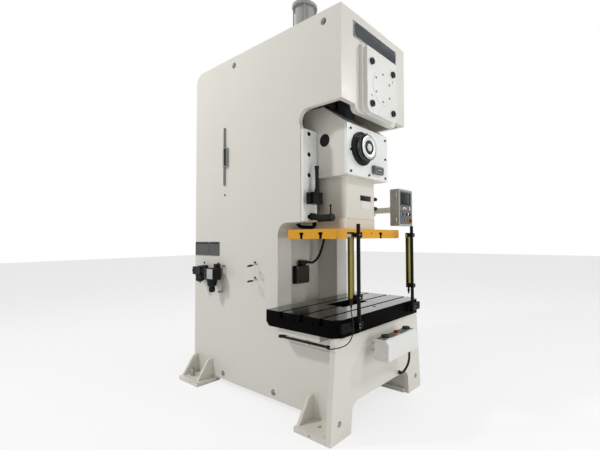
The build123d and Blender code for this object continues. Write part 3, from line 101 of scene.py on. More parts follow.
# %% Nodes and colours
def linear(code):
    """A hex colour as the four linear numbers that a socket takes."""
    values = [int(code[i:i + 2], 16) / 255 for i in (1, 3, 5)]
    return (*[v / 12.92 if v <= 0.04045 else ((v + 0.055) / 1.055) ** 2.4 for v in values], 1)


def feed(tree, node, inputs):
    """Set each input of a node to a value, or link it to the socket that feeds it."""
    for name, value in inputs.items():
        if isinstance(value, bpy.types.NodeSocket):
            tree.links.new(value, node.inputs[name])
        else:
            node.inputs[name].default_value = value


def add_node(tree, kind, inputs, **settings):
    """Add one node with its settings and inputs."""
    node = tree.nodes.new(kind)
    for name, value in settings.items():
        setattr(node, name, value)
    feed(tree, node, inputs)
    return node


def reckon(tree, operation, one, other):
    """One step of arithmetic on two values or sockets."""
    return add_node(tree, "ShaderNodeMath", {0: one, 1: other}, operation=operation).outputs[0]


def noise(tree, place, scale, detail):
    """A cloudy value between 0 and 1."""
    return add_node(tree, "ShaderNodeTexNoise", {
        "Vector": place, "Scale": scale, "Detail": detail}).outputs["Fac"]


def mixed(tree, factor, one, other):
    """A colour between two, each of them a hex code or a socket."""
    ends = {slot: linear(end) if isinstance(end, str) else end
            for slot, end in ((6, one), (7, other))}
    return add_node(tree, "ShaderNodeMix", {"Factor": factor, **ends},
                    data_type="RGBA").outputs[2]


def spread(tree, value, low, high):
    """The middle of a noise, spread from a low to a high value."""
    return add_node(tree, "ShaderNodeMapRange", {
        "Value": value, "From Min": 0.3, "From Max": 0.7,
        "To Min": low, "To Max": high}).outputs["Result"]


def bump(tree, height, strength, distance, **under):
    """A bumped normal, over the one that is given as Normal."""
    return add_node(tree, "ShaderNodeBump", {
        "Height": height, "Strength": strength, "Distance": distance, **under}).outputs["Normal"]


def new_material(name):
    """An empty material with its tree, its surface shader and its object coordinates."""
    material = bpy.data.materials.new(name)
    material.use_nodes = True
    tree = material.node_tree
    place = add_node(tree, "ShaderNodeTexCoord", {}).outputs["Object"]
    return material, tree, tree.nodes["Principled BSDF"], place


print("cream", [round(v, 3) for v in linear("#dedace")])

# %% [markdown]
# ## Sprayed enamel
# The frame is steel plate, filled, primed and sprayed with a two-part enamel in warm cream.
# Such paint is smooth but never flat: the spray leaves orange peel, and the big plates pull
# a little as they are welded, so reflections bend slowly across them. The peel is about 2 mm
# across on the real frame, which is less than a pixel here, so it is drawn at 9 mm.
# A clear gloss lies on top.

# %% Enamel
def enamel(name, colour, shade, roughness, gloss, specular=0.5):
    """Sprayed enamel: a colour, what it drifts to, and how much it shines."""
    material, tree, surface, place = new_material(name)
    peel = bump(tree, noise(tree, place, 110.0, 2.0), 0.12, 0.001)
    cloud = noise(tree, place, 6.0, 4.0)
    feed(tree, surface, {
        "Base Color": mixed(tree, noise(tree, place, 1.3, 3.0), colour, shade),
        "Roughness": spread(tree, cloud, roughness - 0.05, roughness + 0.07),
        "Normal": bump(tree, noise(tree, place, 1.8, 1.0), 0.25, 0.02, Normal=peel),
        "Specular IOR Level": specular, "Coat Weight": gloss, "Coat Roughness": 0.12})
    return material


cream_enamel = enamel("cream_enamel", "#e1dfd6", "#dbd8cd", 0.36, 0.3)
white_enamel = enamel("white_enamel", "#e6e7e2", "#e0e1db", 0.34, 0.35)
bright_enamel = enamel("bright_enamel", "#f2f5f1", "#eceeea", 0.34, 0.35)
slate_enamel = enamel("slate_enamel", "#6b6f70", "#616566", 0.42, 0.15)
slate_light = enamel("light_slate_enamel", "#a9aaa6", "#a1a29e", 0.4, 0.2)
vent_enamel = enamel("vent_enamel", "#5c5e5b", "#545653", 0.5, 0.0)
black_enamel = enamel("black_enamel", "#0b0a09", "#100f0e", 0.4, 0.0, 0.1)
print("enamels", [m.name for m in bpy.data.materials])

# %% [markdown]
# ## Worked steel
# Bare steel shows how it was cut. Grinding and turning leave fine parallel marks, which
# stretch a highlight across them. A noise texture squeezed along one axis draws such
# marks: long in the direction of the cut and short across it. Oil keeps bare steel a little
# dark, in patches.

# %% Steel
def cutting_marks(tree, place, squeeze):
    """A noise that is squeezed along the axes into marks."""
    squeezed = add_node(tree, "ShaderNodeMapping", {"Vector": place, "Scale": squeeze})
    return noise(tree, squeezed.outputs["Vector"], 1.0, 3.0)


def worked_steel(name, colour, oily, roughness, squeeze, depth):
    """Bare metal with cutting marks; squeeze is how fine the marks are along each axis."""
    material, tree, surface, place = new_material(name)
    marks = cutting_marks(tree, place, squeeze)
    feed(tree, surface, {
        "Base Color": mixed(tree, noise(tree, place, 7.0, 5.0), colour, oily),
        "Roughness": spread(tree, marks, roughness - 0.08, roughness + 0.1),
        "Normal": bump(tree, marks, depth, 0.0006), "Metallic": 1.0})
    return material


turned_steel = worked_steel("turned_steel", "#b9bbbb", "#a5a7a7", 0.28, (60, 500, 60), 0.25)
black_oxide = worked_steel("black_oxide", "#2a2a2b", "#1f1f20", 0.4, (300, 300, 300), 0.15)
zinc_plate = worked_steel("zinc_plate", "#b4b6b2", "#a2a5a1", 0.34, (90, 90, 90), 0.1)
bright_chrome = worked_steel("bright_chrome", "#c9cbcc", "#bfc2c4", 0.14, (200, 20, 200), 0.05)
dark_chrome = worked_steel("dark_chrome", "#5d6063", "#4d5053", 0.16, (200, 20, 200), 0.05)
bush_bronze = worked_steel("bush_bronze", "#b18a4a", "#9c773c", 0.35, (80, 400, 80), 0.2)
drawn_steel = worked_steel("drawn_steel", "#8f8d84", "#7f7d75", 0.35, (300, 300, 30), 0.1)
bright_dial = worked_steel("spun_aluminium_dial", "#d6d8d8", "#cbcdcd", 0.3,
                           (220, 220, 220), 0.05)
bare_silver = worked_steel("bare_silver_plate", "#b9bbbc", "#adafb0", 0.36,
                           (30, 30, 400), 0.05)
print("metals", sum(m.node_tree.nodes["Principled BSDF"].inputs["Metallic"].default_value == 1
                    for m in bpy.data.materials if m.use_nodes))

# %% [markdown]
# ## The table: ground on top, black round its edges
# The top of the bolster is ground flat so that a die sits true, and is wiped with oil. Its
# sides are painted black, and the insides of its slots are coloured near black as painted
# shade. One material can do both, because the side of the paint and the side of the grinding
# wheel are told apart by the direction that a face looks in. Grinding marks run along X, the
# way the wheel head travels. The yellow plate under the slide is made the same way, with its
# ground face looking down, and the same painted shade in its slots.

# %% Ground table
def slot_shade_mask(tree, place, low, high):
    """1 for faces that lie inside a box, such as the walls of a slot cut in it, else 0; these
    faces take painted shade.
    """
    skin = 0.0006
    axes = add_node(tree, "ShaderNodeSeparateXYZ", {"Vector": place})
    within = 1.0
    for axis, start, end in zip("XYZ", low, high):
        for limit, kind in ((start + skin, "GREATER_THAN"), (end - skin, "LESS_THAN")):
            test = reckon(tree, kind, axes.outputs[axis], limit)
            within = reckon(tree, "MULTIPLY", within, test)
    return within


def ground_on(name, paint, shine, sign, level, box):
    """Ground steel where faces look up or down (sign) beyond a level, and paint elsewhere;
    what is cut into the box is coloured near black as painted shade."""
    material, tree, surface, place = new_material(name)
    marks = cutting_marks(tree, place, (5, 320, 5))
    steel = mixed(tree, noise(tree, place, 3.5, 6.0), "#77766f", "#4e4e49")
    facing = add_node(tree, "ShaderNodeNewGeometry", {}).outputs["Normal"]
    way = add_node(tree, "ShaderNodeSeparateXYZ", {"Vector": facing}).outputs["Z"]
    height = add_node(tree, "ShaderNodeSeparateXYZ", {"Vector": place}).outputs["Z"]
    beyond = "GREATER_THAN" if sign > 0 else "LESS_THAN"
    bare = reckon(tree, "MULTIPLY", reckon(tree, beyond, way, 0.9 * sign),
                  reckon(tree, beyond, height, level))
    # The walls of slots and holes cut into the box are coloured near black: painted shade.
    skin = mixed(tree, slot_shade_mask(tree, place, *box), paint, "#0b0a08")
    rough = add_node(tree, "ShaderNodeMix", {0: bare, 2: 0.45,
                                             3: spread(tree, marks, 0.12, 0.24)})
    feed(tree, surface, {
        "Base Color": mixed(tree, bare, skin, steel), "Metallic": bare,
        "Roughness": rough.outputs[0], "Specular IOR Level": shine,
        "Normal": bump(tree, marks, 0.1, 0.0005)})
    return material


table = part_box("bolster")
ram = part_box("slide_plate")
ground_table = ground_on("ground_table", "#050505", 0.02, 1, table[1].z - 0.002, table)
ground_ram = ground_on("ground_ram", "#e2a321", 0.4, -1, ram[0].z + 0.002, ram)
print("table top at", round(table[1].z, 3), "m, ram plate at", round(ram[0].z, 3), "m")

# %% [markdown]
# ## Cast iron, plastics and rubber
# Castings keep the grain of the sand they were poured in, some millimetres across, under a coat
# of grey paint. Moulded plastics are even and satin. Rubber is matt, with a faint bloom.
# One function serves them all, because they differ in colour, shine and grain only.

# %% Moulded and cast finishes
def moulded(name, colour, shade, roughness, grain_mm, depth, specular=0.15):
    """A cast or moulded surface, with a grain of a real size in millimetres."""
    material, tree, surface, place = new_material(name)
    grain = noise(tree, place, 1000 / (3 * grain_mm), 3.0)
    patch = noise(tree, place, 9.0, 3.0)
    feed(tree, surface, {
        "Base Color": mixed(tree, patch, colour, shade),
        "Roughness": spread(tree, patch, roughness - 0.05, roughness + 0.06),
        "Normal": bump(tree, grain, depth, 0.0008), "Specular IOR Level": specular})
    return material


cast_iron = moulded("painted_cast_iron", "#5f6366", "#55585b", 0.5, 3, 0.5)
black_nylon = moulded("glass_filled_nylon_black", "#1b1b1c", "#232324", 0.5, 1.5, 0.2)
black_abs = moulded("moulded_abs_black", "#161617", "#1d1d1e", 0.38, 1, 0.1)
grey_abs = moulded("moulded_abs_grey", "#a3a6a4", "#989b99", 0.42, 1, 0.1)
signal_green = moulded("moulded_abs_green", "#20402c", "#1b3826", 0.3, 1, 0.05)
signal_red = moulded("moulded_abs_red", "#8c231d", "#7e1e19", 0.3, 1, 0.05)
signal_yellow = moulded("moulded_abs_yellow", "#dcb01c", "#cfa414", 0.36, 1, 0.05)
belt_rubber = moulded("wrapped_belt_rubber", "#202021", "#2a2a2a", 0.75, 2, 0.4)
cable_sheath = moulded("pvc_cable_sheath", "#1a1a1a", "#242424", 0.48, 1, 0.15)
hose_polyamide = moulded("corrugated_polyamide", "#18191b", "#212225", 0.42, 1, 0.1)
sender_yellow = moulded("anodised_olive_profile", "#aa9e50", "#9d9146", 0.4, 1, 0.1)
panel_grey = moulded("printed_panel_grey", "#6e6f73", "#66676b", 0.4, 1, 0.05)
dark_box = moulded("die_cast_dark_box", "#413d35", "#38352e", 0.45, 2, 0.2)
dark_anodised = moulded("dark_anodised_sheet", "#3a3f45", "#33383d", 0.4, 1, 0.1)
hub_white = moulded("moulded_hub_white", "#e9ebea", "#dfe1e0", 0.35, 1, 0.05)
dial_white = moulded("printed_dial_white", "#ecece6", "#e4e4de", 0.4, 1, 0.0)
window_glass = moulded("tinted_acrylic_window", "#1d2422", "#232b29", 0.12, 1, 0.0)
window_red = moulded("infrared_acrylic_window", "#33140f", "#2a100c", 0.16, 1, 0.0)
strip_black = moulded("extruded_strip_black", "#1e211b", "#262a22", 0.45, 1, 0.1)
smoked_bowl = moulded("smoked_polycarbonate", "#4a4c49", "#3d3f3c", 0.18, 1, 0.0)
print("finishes", len(bpy.data.materials))

# %% [markdown]
# ## A finish for every part
# Each part of the CAD model takes one finish. The list reads like a paint and plating
# schedule: what is welded to the frame is cream, what bolts on is a little whiter, and what
# slides or turns is bare. The screws of the frame are black, but those down in the feet are
# zinc plated, because the floor gets wet.

# %% Finish schedule
schedule = {
    cream_enamel: ["side_plate_left", "side_plate_right", "throat_liners", "back_web",
                   "crown_front_plate", "crown_top_plate", "cross_walls", "bed_front_plate",
                   "bolster_seats", "feet", "slide_body", "rear_panel", "rear_door"],
    bright_enamel: ["slide_cover", "front_gibs"],
    white_enamel: ["crank_cover", "two_hand_box", "pendant_arm", "pendant_bracket"],
    slate_enamel: ["motor"],
    slate_light: ["counterbalance_cylinders", "pendant_box"],
    vent_enamel: ["side_vent"],
    black_enamel: ["curtain_posts"],
    cast_iron: ["guide_blocks", "flywheel", "main_gear", "motor_pulley", "connecting_rod"],
    turned_steel: ["pinion_shaft", "crankshaft", "adjusting_screw", "balance_rods"],
    black_oxide: ["frame_bolts", "slide_bolts", "lube_distributor", "cable_conduit"],
    zinc_plate: ["tool_rings"],
    bush_bronze: ["shaft_bushes"],
    drawn_steel: ["air_pipe"],
    ground_table: ["bolster"],
    ground_ram: ["slide_plate"],
    black_nylon: ["air_filter", "air_regulator", "regulator_knob", "limit_switch",
                  "junction_box"],
    black_abs: ["adjuster_drum", "door_handle"],
    grey_abs: ["level_gauge", "height_indicator"],
    signal_green: ["palm_button_left", "palm_button_right"],
    signal_red: ["stop_button", "pendant_stop"],
    sender_yellow: ["light_curtains"],
    belt_rubber: ["v_belts"],
    cable_sheath: ["curtain_cable", "two_hand_cable", "throat_hose"],
}
for finish, names in schedule.items():
    for name in names:
        parts[name].data.materials.clear()
        parts[name].data.materials.append(finish)
bolts = parts["frame_bolts"].data
bolts.materials.append(zinc_plate)
foot_height = 0.3
for face in bolts.polygons:
    face.material_index = int(face.center.z < foot_height)
print("finished", sum(len(names) for names in schedule.values()), "of", len(parts), "parts")

# %% [markdown]
# ## A small workshop
# Every piece below is made by hand tools that Blender has: add a primitive at its size and
# place, go into edit mode, extrude, inset, bevel. A few helpers keep that short. Each one
# works on a piece that is selected alone, because an operator works on all that is selected.

# %% Workshop
right, back, up = Vector((1, 0, 0)), Vector((0, 1, 0)), Vector((0, 0, 1))
left, front, down = Vector((-1, 0, 0)), Vector((0, -1, 0)), Vector((0, 0, -1))
edge_angle = radians(35)


def alone(piece):
    """Select one piece and nothing else."""
    bpy.ops.object.select_all(action="DESELECT")
    piece.select_set(True)
    bpy.context.view_layer.objects.active = piece
    return piece


def settle():
    """Move the place, turn and size of the new object into its mesh."""
    piece = alone(bpy.context.object)
    bpy.ops.object.transform_apply(location=True, rotation=True, scale=True)
    return piece


def slab(low, high):
    """A block between two corners, in metres."""
    low, high = Vector(low), Vector(high)
    bpy.ops.mesh.primitive_cube_add(size=1, location=(low + high) / 2, scale=high - low)
    return settle()


def rod(start, end, radius, sides=40):
    """A round bar from one point to another."""
    start, end = Vector(start), Vector(end)
    run = end - start
    bpy.ops.mesh.primitive_cylinder_add(
        vertices=sides, radius=radius, depth=run.length, location=(start + end) / 2,
        rotation=run.to_track_quat("Z", "Y").to_euler())
    return settle()


def turned(start, axis, first, steps, sides=48):
    """A turned piece: a disc that is extruded along an axis to each (advance, radius)."""
    axis = Vector(axis).normalized()
    spot = Vector(start)
    bpy.ops.mesh.primitive_circle_add(
        vertices=sides, radius=first, fill_type="NGON", location=spot,
        rotation=axis.to_track_quat("Z", "Y").to_euler())
    piece = settle()
    bpy.ops.object.mode_set(mode="EDIT")
    bpy.ops.mesh.select_mode(type="FACE")
    bpy.ops.mesh.select_all(action="SELECT")
    radius = first
    for advance, wanted in steps:
        bpy.ops.mesh.extrude_region_move(
            TRANSFORM_OT_translate={"value": axis * advance, "orient_type": "GLOBAL"})
        spot = spot + axis * advance
        ratio = wanted / radius
        bpy.ops.transform.resize(value=(ratio, ratio, ratio), center_override=spot)
        radius = wanted
    bpy.ops.mesh.select_all(action="SELECT")
    bpy.ops.mesh.normals_make_consistent(inside=False)
    bpy.ops.object.mode_set(mode="OBJECT")
    return piece


def pick_faces(piece, test):
    """Go into edit mode with only the faces that pass a test selected."""
    alone(piece)
    bpy.ops.object.mode_set(mode="EDIT")
    bpy.ops.mesh.select_mode(type="FACE")
    bpy.ops.mesh.select_all(action="DESELECT")
    bpy.ops.object.mode_set(mode="OBJECT")
    for face in piece.data.polygons:
        face.select = test(face)
    bpy.ops.object.mode_set(mode="EDIT")


def inset_face(piece, way, border, depth):
    """Inset the faces that look one way, then push them in (or out) by a depth."""
    pick_faces(piece, lambda face: face.normal.dot(way) > 0.99)
    bpy.ops.mesh.inset(thickness=border)
    bpy.ops.mesh.extrude_region_move(
        TRANSFORM_OT_translate={"value": way * depth, "orient_type": "GLOBAL"})
    bpy.ops.object.mode_set(mode="OBJECT")
    return piece


def modified(piece, kind, **settings):
    """Add a modifier to a piece, set it and apply it."""
    alone(piece)
    bpy.ops.object.modifier_add(type=kind)
    modifier = piece.modifiers[-1]
    for name, value in settings.items():
        setattr(modifier, name, value)
    bpy.ops.object.modifier_apply(modifier=modifier.name)
    return piece


def soften(piece, width, segments=2):
    """Round the sharp edges with a bevel, and smooth what is nearly flat."""
    modified(piece, "BEVEL", width=width, segments=segments, limit_method="ANGLE",
             angle_limit=edge_angle)
    bpy.ops.object.shade_smooth_by_angle(angle=edge_angle)
    return piece


def painted(piece, finish):
    """Give a piece one finish."""
    piece.data.materials.clear()
    piece.data.materials.append(finish)
    return piece


def block(low, high, finish, width, sunk=None, segments=2):
    """A slab with soft edges in its finish; sunk is the way, border and depth of an inset."""
    piece = slab(low, high)
    if sunk:
        inset_face(piece, *sunk)
    return painted(soften(piece, width, segments), finish)


def lathed(start, axis, first, steps, finish, width=0.0006, sides=28):
    """A turned piece with soft edges in its finish."""
    return painted(soften(turned(start, axis, first, steps, sides), width), finish)


def pin(start, end, radius, finish, width, sides=6):
    """A round or six-sided bar with soft edges in its finish."""
    return painted(soften(rod(start, end, radius, sides), width), finish)


def circle(count, first, radius):
    """Places spaced evenly round a circle, from a first angle in degrees."""
    angles = [radians(first + 360 / count * i) for i in range(count)]
    return [(radius * cos(angle), radius * sin(angle)) for angle in angles]


def turned_about(piece, spot, degrees, axis):
    """Turn a piece about an axis, then carry it from the origin to a spot."""
    piece.data.transform(Matrix.Translation(spot) @ Matrix.Rotation(radians(degrees), 4, axis))
    return piece


def copy_at(piece, shift):
    """A copy with its own mesh, moved by a shift."""
    twin = piece.copy()
    twin.data = piece.data.copy()
    bpy.context.collection.objects.link(twin)
    twin.data.transform(Matrix.Translation(shift))
    return twin


def mirrored(piece):
    """A copy with its own mesh on the other side of the press."""
    twin = copy_at(piece, (0, 0, 0))
    twin.data.transform(Matrix.Scale(-1, 4, right))
    alone(twin)
    bpy.ops.object.mode_set(mode="EDIT")
    bpy.ops.mesh.select_all(action="SELECT")
    bpy.ops.mesh.flip_normals()
    bpy.ops.object.mode_set(mode="OBJECT")
    return twin


def assemble(name, body, pieces, replaces=()):
    """Join pieces into one that rides on a body, under one name."""
    alone(pieces[0])
    for piece in pieces:
        piece.select_set(True)
    if len(pieces) > 1:
        bpy.ops.object.join()
    whole = bpy.context.object
    whole.name = name
    whole.data.name = name
    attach(whole, body)
    if replaces:
        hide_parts(*replaces)
    print(name, len(whole.data.polygons), "faces")
    return whole


print("workshop ready")

# %% [markdown]
# ## Screws
# A machine is held by screws, and they are what the eye counts. A socket head screw is a
# turned head with a small bevel and a hexagon sunk in it. It is modelled on the floor,
# looking up, and then turned to its face and set on its seat.

# %% Screws and bolts
def seated(piece, place, way):
    """Turn a piece that stands on the floor to look one way, and set it on its seat."""
    turn = Vector(way).to_track_quat("Z", "Y").to_matrix().to_4x4()
    piece.data.transform(Matrix.Translation(place) @ turn)
    return piece


def screws(places, way, radius, height, finish=zinc_plate):
    """Socket head screws whose heads stand on some places and look one way."""
    made = []
    for place in places:
        head = turned((0, 0, 0), up, radius, [(height, radius)], 28)
        hexagon = rod((0, 0, height * 0.35), (0, 0, height * 1.5), radius * 0.52, 6)
        modified(head, "BOOLEAN", object=hexagon, operation="DIFFERENCE", solver="EXACT")
        bpy.data.objects.remove(hexagon)
        made.append(painted(seated(soften(head, radius * 0.12), place, way), finish))
    return made


def hex_bolts(places, way, radius):
    """Hexagon head bolts on their washers, zinc plated."""
    made = []
    for place in places:
        under = radius * 0.18
        washer = lathed((0, 0, 0), up, radius * 1.25, [(under, radius * 1.25)], zinc_plate,
                        radius * 0.05)
        head = pin((0, 0, under), (0, 0, radius * 0.85), radius, zinc_plate, radius * 0.1)
        made += [seated(washer, place, way), seated(head, place, way)]
    return made


print("screws ready")

# %% [markdown]
# ## Cables and hoses
# Four cables and hoses hang on the press. Each leaves its gland straight, bends under its
# own weight as far as its stiffness lets it, and goes straight into the next gland. An open
# NURBS curve draws such a line from a few points, and a round bevel gives it its sheath.

# %% Cables
def hung_line(name, points, radius):
    """An open NURBS curve along the points of a route, in metres."""
    data = bpy.data.curves.new(name, "CURVE")
    data.dimensions = "3D"
    data.resolution_u = 10
    data.bevel_depth = radius
    data.bevel_resolution = 5
    data.use_fill_caps = radius > 0
    line = data.splines.new("NURBS")
    line.points.add(len(points) - 1)
    for spot, point in zip(line.points, points):
        spot.co = (*point, 1)
    line.order_u = 3
    line.use_endpoint_u = True
    cable = bpy.data.objects.new(name, data)
    bpy.context.collection.objects.link(cable)
    return cable


curtain_route = [(-0.443, -1.048, 0.932), (-0.443, -1.048, 0.905), (-0.460, -1.070, 0.872),
                 (-0.492, -1.106, 0.835), (-0.508, -1.118, 0.785), (-0.526, -1.116, 0.738),
                 (-0.560, -1.104, 0.700), (-0.604, -1.078, 0.684), (-0.636, -1.034, 0.674),
                 (-0.637, -0.994, 0.665), (-0.614, -0.974, 0.659), (-0.590, -0.970, 0.656),
                 (-0.580, -0.953, 0.656)]
desk_route = [(0.213, -1.175, 0.505), (0.213, -1.175, 0.450), (0.209, -1.173, 0.395),
              (0.210, -1.155, 0.345), (0.217, -1.128, 0.303), (0.228, -1.100, 0.272),
              (0.240, -1.076, 0.258), (0.240, -1.052, 0.258)]
curtain_lead = hung_line("curtain_lead", curtain_route, 0.004)
desk_lead = hung_line("desk_lead", desk_route, 0.010)
for lead, stood_for in ((curtain_lead, "curtain_cable"), (desk_lead, "two_hand_cable")):
    lead.data.materials.append(cable_sheath)
    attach(lead, "frame")
    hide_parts(stood_for)
    print(lead.name, len(lead.data.splines[0].points), "points")

# %% [markdown]
# A cable never just enters a hole. A moulded boot or a gland nut with a tapered seal holds
# it, so that it can't be pulled or bent sharply. Both are turned work: each step of the
# profile is an extrusion with its own radius. The nut is a short six-sided bar.

# %% Glands of the cables
def glands(name, radius, *seats):
    """A gland nut with a tapered seal on each seat, from the seat outwards."""
    made = []
    for spot, way in seats:
        nut_top = Vector(spot) + way * radius * 0.9
        made += [pin(spot, nut_top, radius * 1.9, black_nylon, radius * 0.08),
                 lathed(nut_top, way, radius * 1.75,
                        [(radius * 0.25, radius * 1.7), (radius * 0.5, radius * 1.35),
                         (radius * 0.7, radius * 1.1)], black_nylon, radius * 0.06)]
    return assemble(name, "frame", made)


conduit_boot = painted(turned((-0.580, -0.9505, 0.656), front, 0.0095,
                              [(0.003, 0.0095), (0.002, 0.0075), (0.010, 0.0056)], 28),
                       black_nylon)
curtain_ends = assemble("curtain_boot", "frame", [conduit_boot])
desk_ends = glands("desk_glands", 0.010, (desk_route[0], down), (desk_route[-1], front))

# %% [markdown]
# ## Ribbed hoses
# The thicker two are corrugated hoses of black polyamide, which bend because their wall is
# folded like a bellows. One fold is turned first, its flat ends are taken off, and an array
# repeats it into a straight hose that a curve then bends along its route.

# %% Hoses
def ribbed_hose(name, points, radius, pitch):
    """A corrugated hose along a route; gives the hose and the points down its middle."""
    route = hung_line(name + "_route", points, 0.0)
    line = bpy.data.meshes.new_from_object(route)
    middle = [tuple(point.co) for point in line.vertices]
    bpy.data.meshes.remove(line)
    long = sum((Vector(b) - Vector(a)).length for a, b in zip(middle, middle[1:]))
    count = round(long / pitch)
    pitch = long / count
    valley = radius * 0.86
    hose = turned((0, 0, 0), up, valley,
                  [(pitch * 0.2, radius), (pitch * 0.4, radius), (pitch * 0.2, valley),
                   (pitch * 0.2, valley)], 32)
    pick_faces(hose, lambda face: abs(face.normal.z) > 0.99)
    bpy.ops.mesh.delete(type="ONLY_FACE")
    bpy.ops.object.mode_set(mode="OBJECT")
    modified(hose, "ARRAY", count=count, relative_offset_displace=(0, 0, 1),
             use_merge_vertices=True, merge_threshold=pitch * 0.02)
    modified(hose, "CURVE", object=route, deform_axis="POS_Z")
    bpy.data.objects.remove(route)
    bpy.ops.object.mode_set(mode="EDIT")
    bpy.ops.mesh.select_all(action="SELECT")
    bpy.ops.mesh.fill_holes(sides=0)
    bpy.ops.mesh.select_all(action="SELECT")
    bpy.ops.mesh.normals_make_consistent(inside=False)
    bpy.ops.object.mode_set(mode="OBJECT")
    bpy.ops.object.shade_smooth_by_angle(angle=radians(40))
    hose.name = name
    painted(hose, hose_polyamide)
    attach(hose, "frame")
    print(name, round(long, 3), "m with", count, "folds")
    return hose, middle, long


throat_route = [(0.078, -0.038, 1.216), (0.118, -0.038, 1.216), (0.160, -0.050, 1.206),
                (0.196, -0.070, 1.224), (0.214, -0.095, 1.264), (0.222, -0.120, 1.314),
                (0.222, -0.144, 1.370), (0.216, -0.168, 1.430), (0.208, -0.192, 1.490),
                (0.200, -0.215, 1.545), (0.200, -0.215, 1.600)]
roof_route = [(-0.290, -0.306, 1.622), (-0.290, -0.306, 1.572), (-0.172, -0.330, 1.564),
              (-0.057, -0.306, 1.572), (-0.057, -0.306, 1.622)]
throat_line, throat_middle, throat_long = ribbed_hose("throat_line", throat_route, 0.013, 0.0075)
roof_line, roof_middle, roof_long = ribbed_hose("roof_line", roof_route, 0.017, 0.009)
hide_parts("throat_hose")
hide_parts("throat_hose")
throat_ends = glands("throat_glands", 0.0125, (throat_route[0], right), (throat_route[-1], down))
roof_ends = glands("roof_glands", 0.016, (roof_route[0], down), (roof_route[-1], down))

# %% [markdown]
# ## The plate on the crown
# High on the crown sits a long dark plate. It is sheet aluminium, anodised nearly black,
# with a field pressed in, a thin bright strip along each edge and four small rivets. It is
# bare. A slab, inset once from its front and pushed in, gives both border and field.

# %% Crown plate
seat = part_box("crown_front_plate")[0].y
half, low_z, high_z = 0.330, 3.095, 3.230
face_y, strip, rivet_in = seat - 0.004, 0.006, 0.018
plate = [block((-half, face_y, low_z), (half, seat, high_z), dark_anodised, 0.0015,
               (front, 0.007, -0.0015))]
strips = [(-half, z, half, z + strip) for z in (low_z, high_z - strip)]
strips += [(x, low_z + strip, x + strip, high_z - strip) for x in (-half, half - strip)]
for x, z, end_x, end_z in strips:
    plate.append(block((x, face_y - 0.0008, z), (end_x, face_y, end_z), zinc_plate, 0.0003,
                       segments=1))
for spot in product((-half + rivet_in, half - rivet_in), (face_y + 0.001,),
                    (low_z + rivet_in, high_z - rivet_in)):
    rivet = turned(spot, front, 0.005, [(0.0018, 0.0045), (0.0012, 0.003), (0.0005, 0.001)], 20)
    plate.append(painted(rivet, zinc_plate))
assemble("crown_plate", "frame", plate)

# %% [markdown]
# ## The height adjuster
# On the slide's front cover stands a round drive. It turns the screw that sets how low the
# slide comes. From the outside in it is a black cast flange with six screws, a dark
# chromed barrel, a black collar, a silver face with a scale, and a white hub in a black ring.
# All of it is turned work, so each stage is a disc extruded step by step along Y.

# %% Adjuster drive
flange_radius = 0.145
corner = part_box("adjuster_drum")[0]
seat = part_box("slide_cover")[0].y
drum_x, drum_z, dial_y = corner.x + flange_radius, corner.z + flange_radius, seat - 0.084
drive = []
for y, first, steps, finish, width, sides in (
        (seat, flange_radius, [(0.012, flange_radius), (0.003, 0.142), (0.001, 0.128),
                               (0.012, 0.122)], black_abs, 0.001, 72),
        (seat - 0.028, 0.106, [(0.012, 0.106), (0.002, 0.102), (0.006, 0.102), (0.002, 0.106),
                               (0.018, 0.106)], dark_chrome, 0.0008, 72),
        (seat - 0.068, 0.107, [(0.002, 0.110), (0.010, 0.110), (0.004, 0.105)],
         black_abs, 0.0008, 72),
        (dial_y + 0.001, 0.101, [(0.0025, 0.100), (0.001, 0.097), (0.0005, 0.066),
                                 (-0.002, 0.063)], bright_dial, 0.0005, 72),
        (dial_y, 0.060, [(0.0015, 0.060), (0.001, 0.058), (0.0002, 0.036), (-0.001, 0.034)],
         black_abs, 0.0005, 64),
        (dial_y, 0.032, [(0.003, 0.032), (0.002, 0.029), (0.0005, 0.012)],
         hub_white, 0.0006, 48)):
    drive.append(lathed((drum_x, y, drum_z), front, first, steps, finish, width, sides))
drive += screws([(drum_x + x, seat - 0.014, drum_z + z) for x, z in circle(6, 30, 0.134)],
                front, 0.007, 0.006, black_oxide)
drive.append(lathed((drum_x + 0.020, seat - 0.045, drum_z + 0.095), up, 0.013,
                    [(0.016, 0.013), (0.002, 0.011), (0.010, 0.011), (0.002, 0.013),
                     (0.010, 0.013)], zinc_plate, 0.0008))

# %% [markdown]
# The scale is a ring of fine ticks, every fifth one longer. One tick is a thin slab at the
# top of the dial, and each copy is turned about the middle of the dial.

# %% Dial scale
tick = painted(slab((drum_x - 0.0006, dial_y - 0.0045, drum_z + 0.086),
                    (drum_x + 0.0006, dial_y - 0.0022, drum_z + 0.094)), black_abs)
middle = Vector((drum_x, 0, drum_z))
lift = Matrix.Translation((0, 0, 0.094))
for i in range(60):
    twin = copy_at(tick, -middle)
    stretch = Matrix.Scale(1.0 if i % 5 else 1.8, 4, up)
    twin.data.transform(lift @ stretch @ lift.inverted())
    drive.append(turned_about(twin, middle, 6 * i, "Y"))
bpy.data.objects.remove(tick)
assemble("adjuster_drive", "slide", drive, ["adjuster_drum"])

# %% [markdown]
# ## The height counter
# Beside the drive a grey housing shows the shut height. It has a lid with a window, and
# behind the window the wheels of a counter. The wheels are blank here: four narrow drums
# in a dark well.

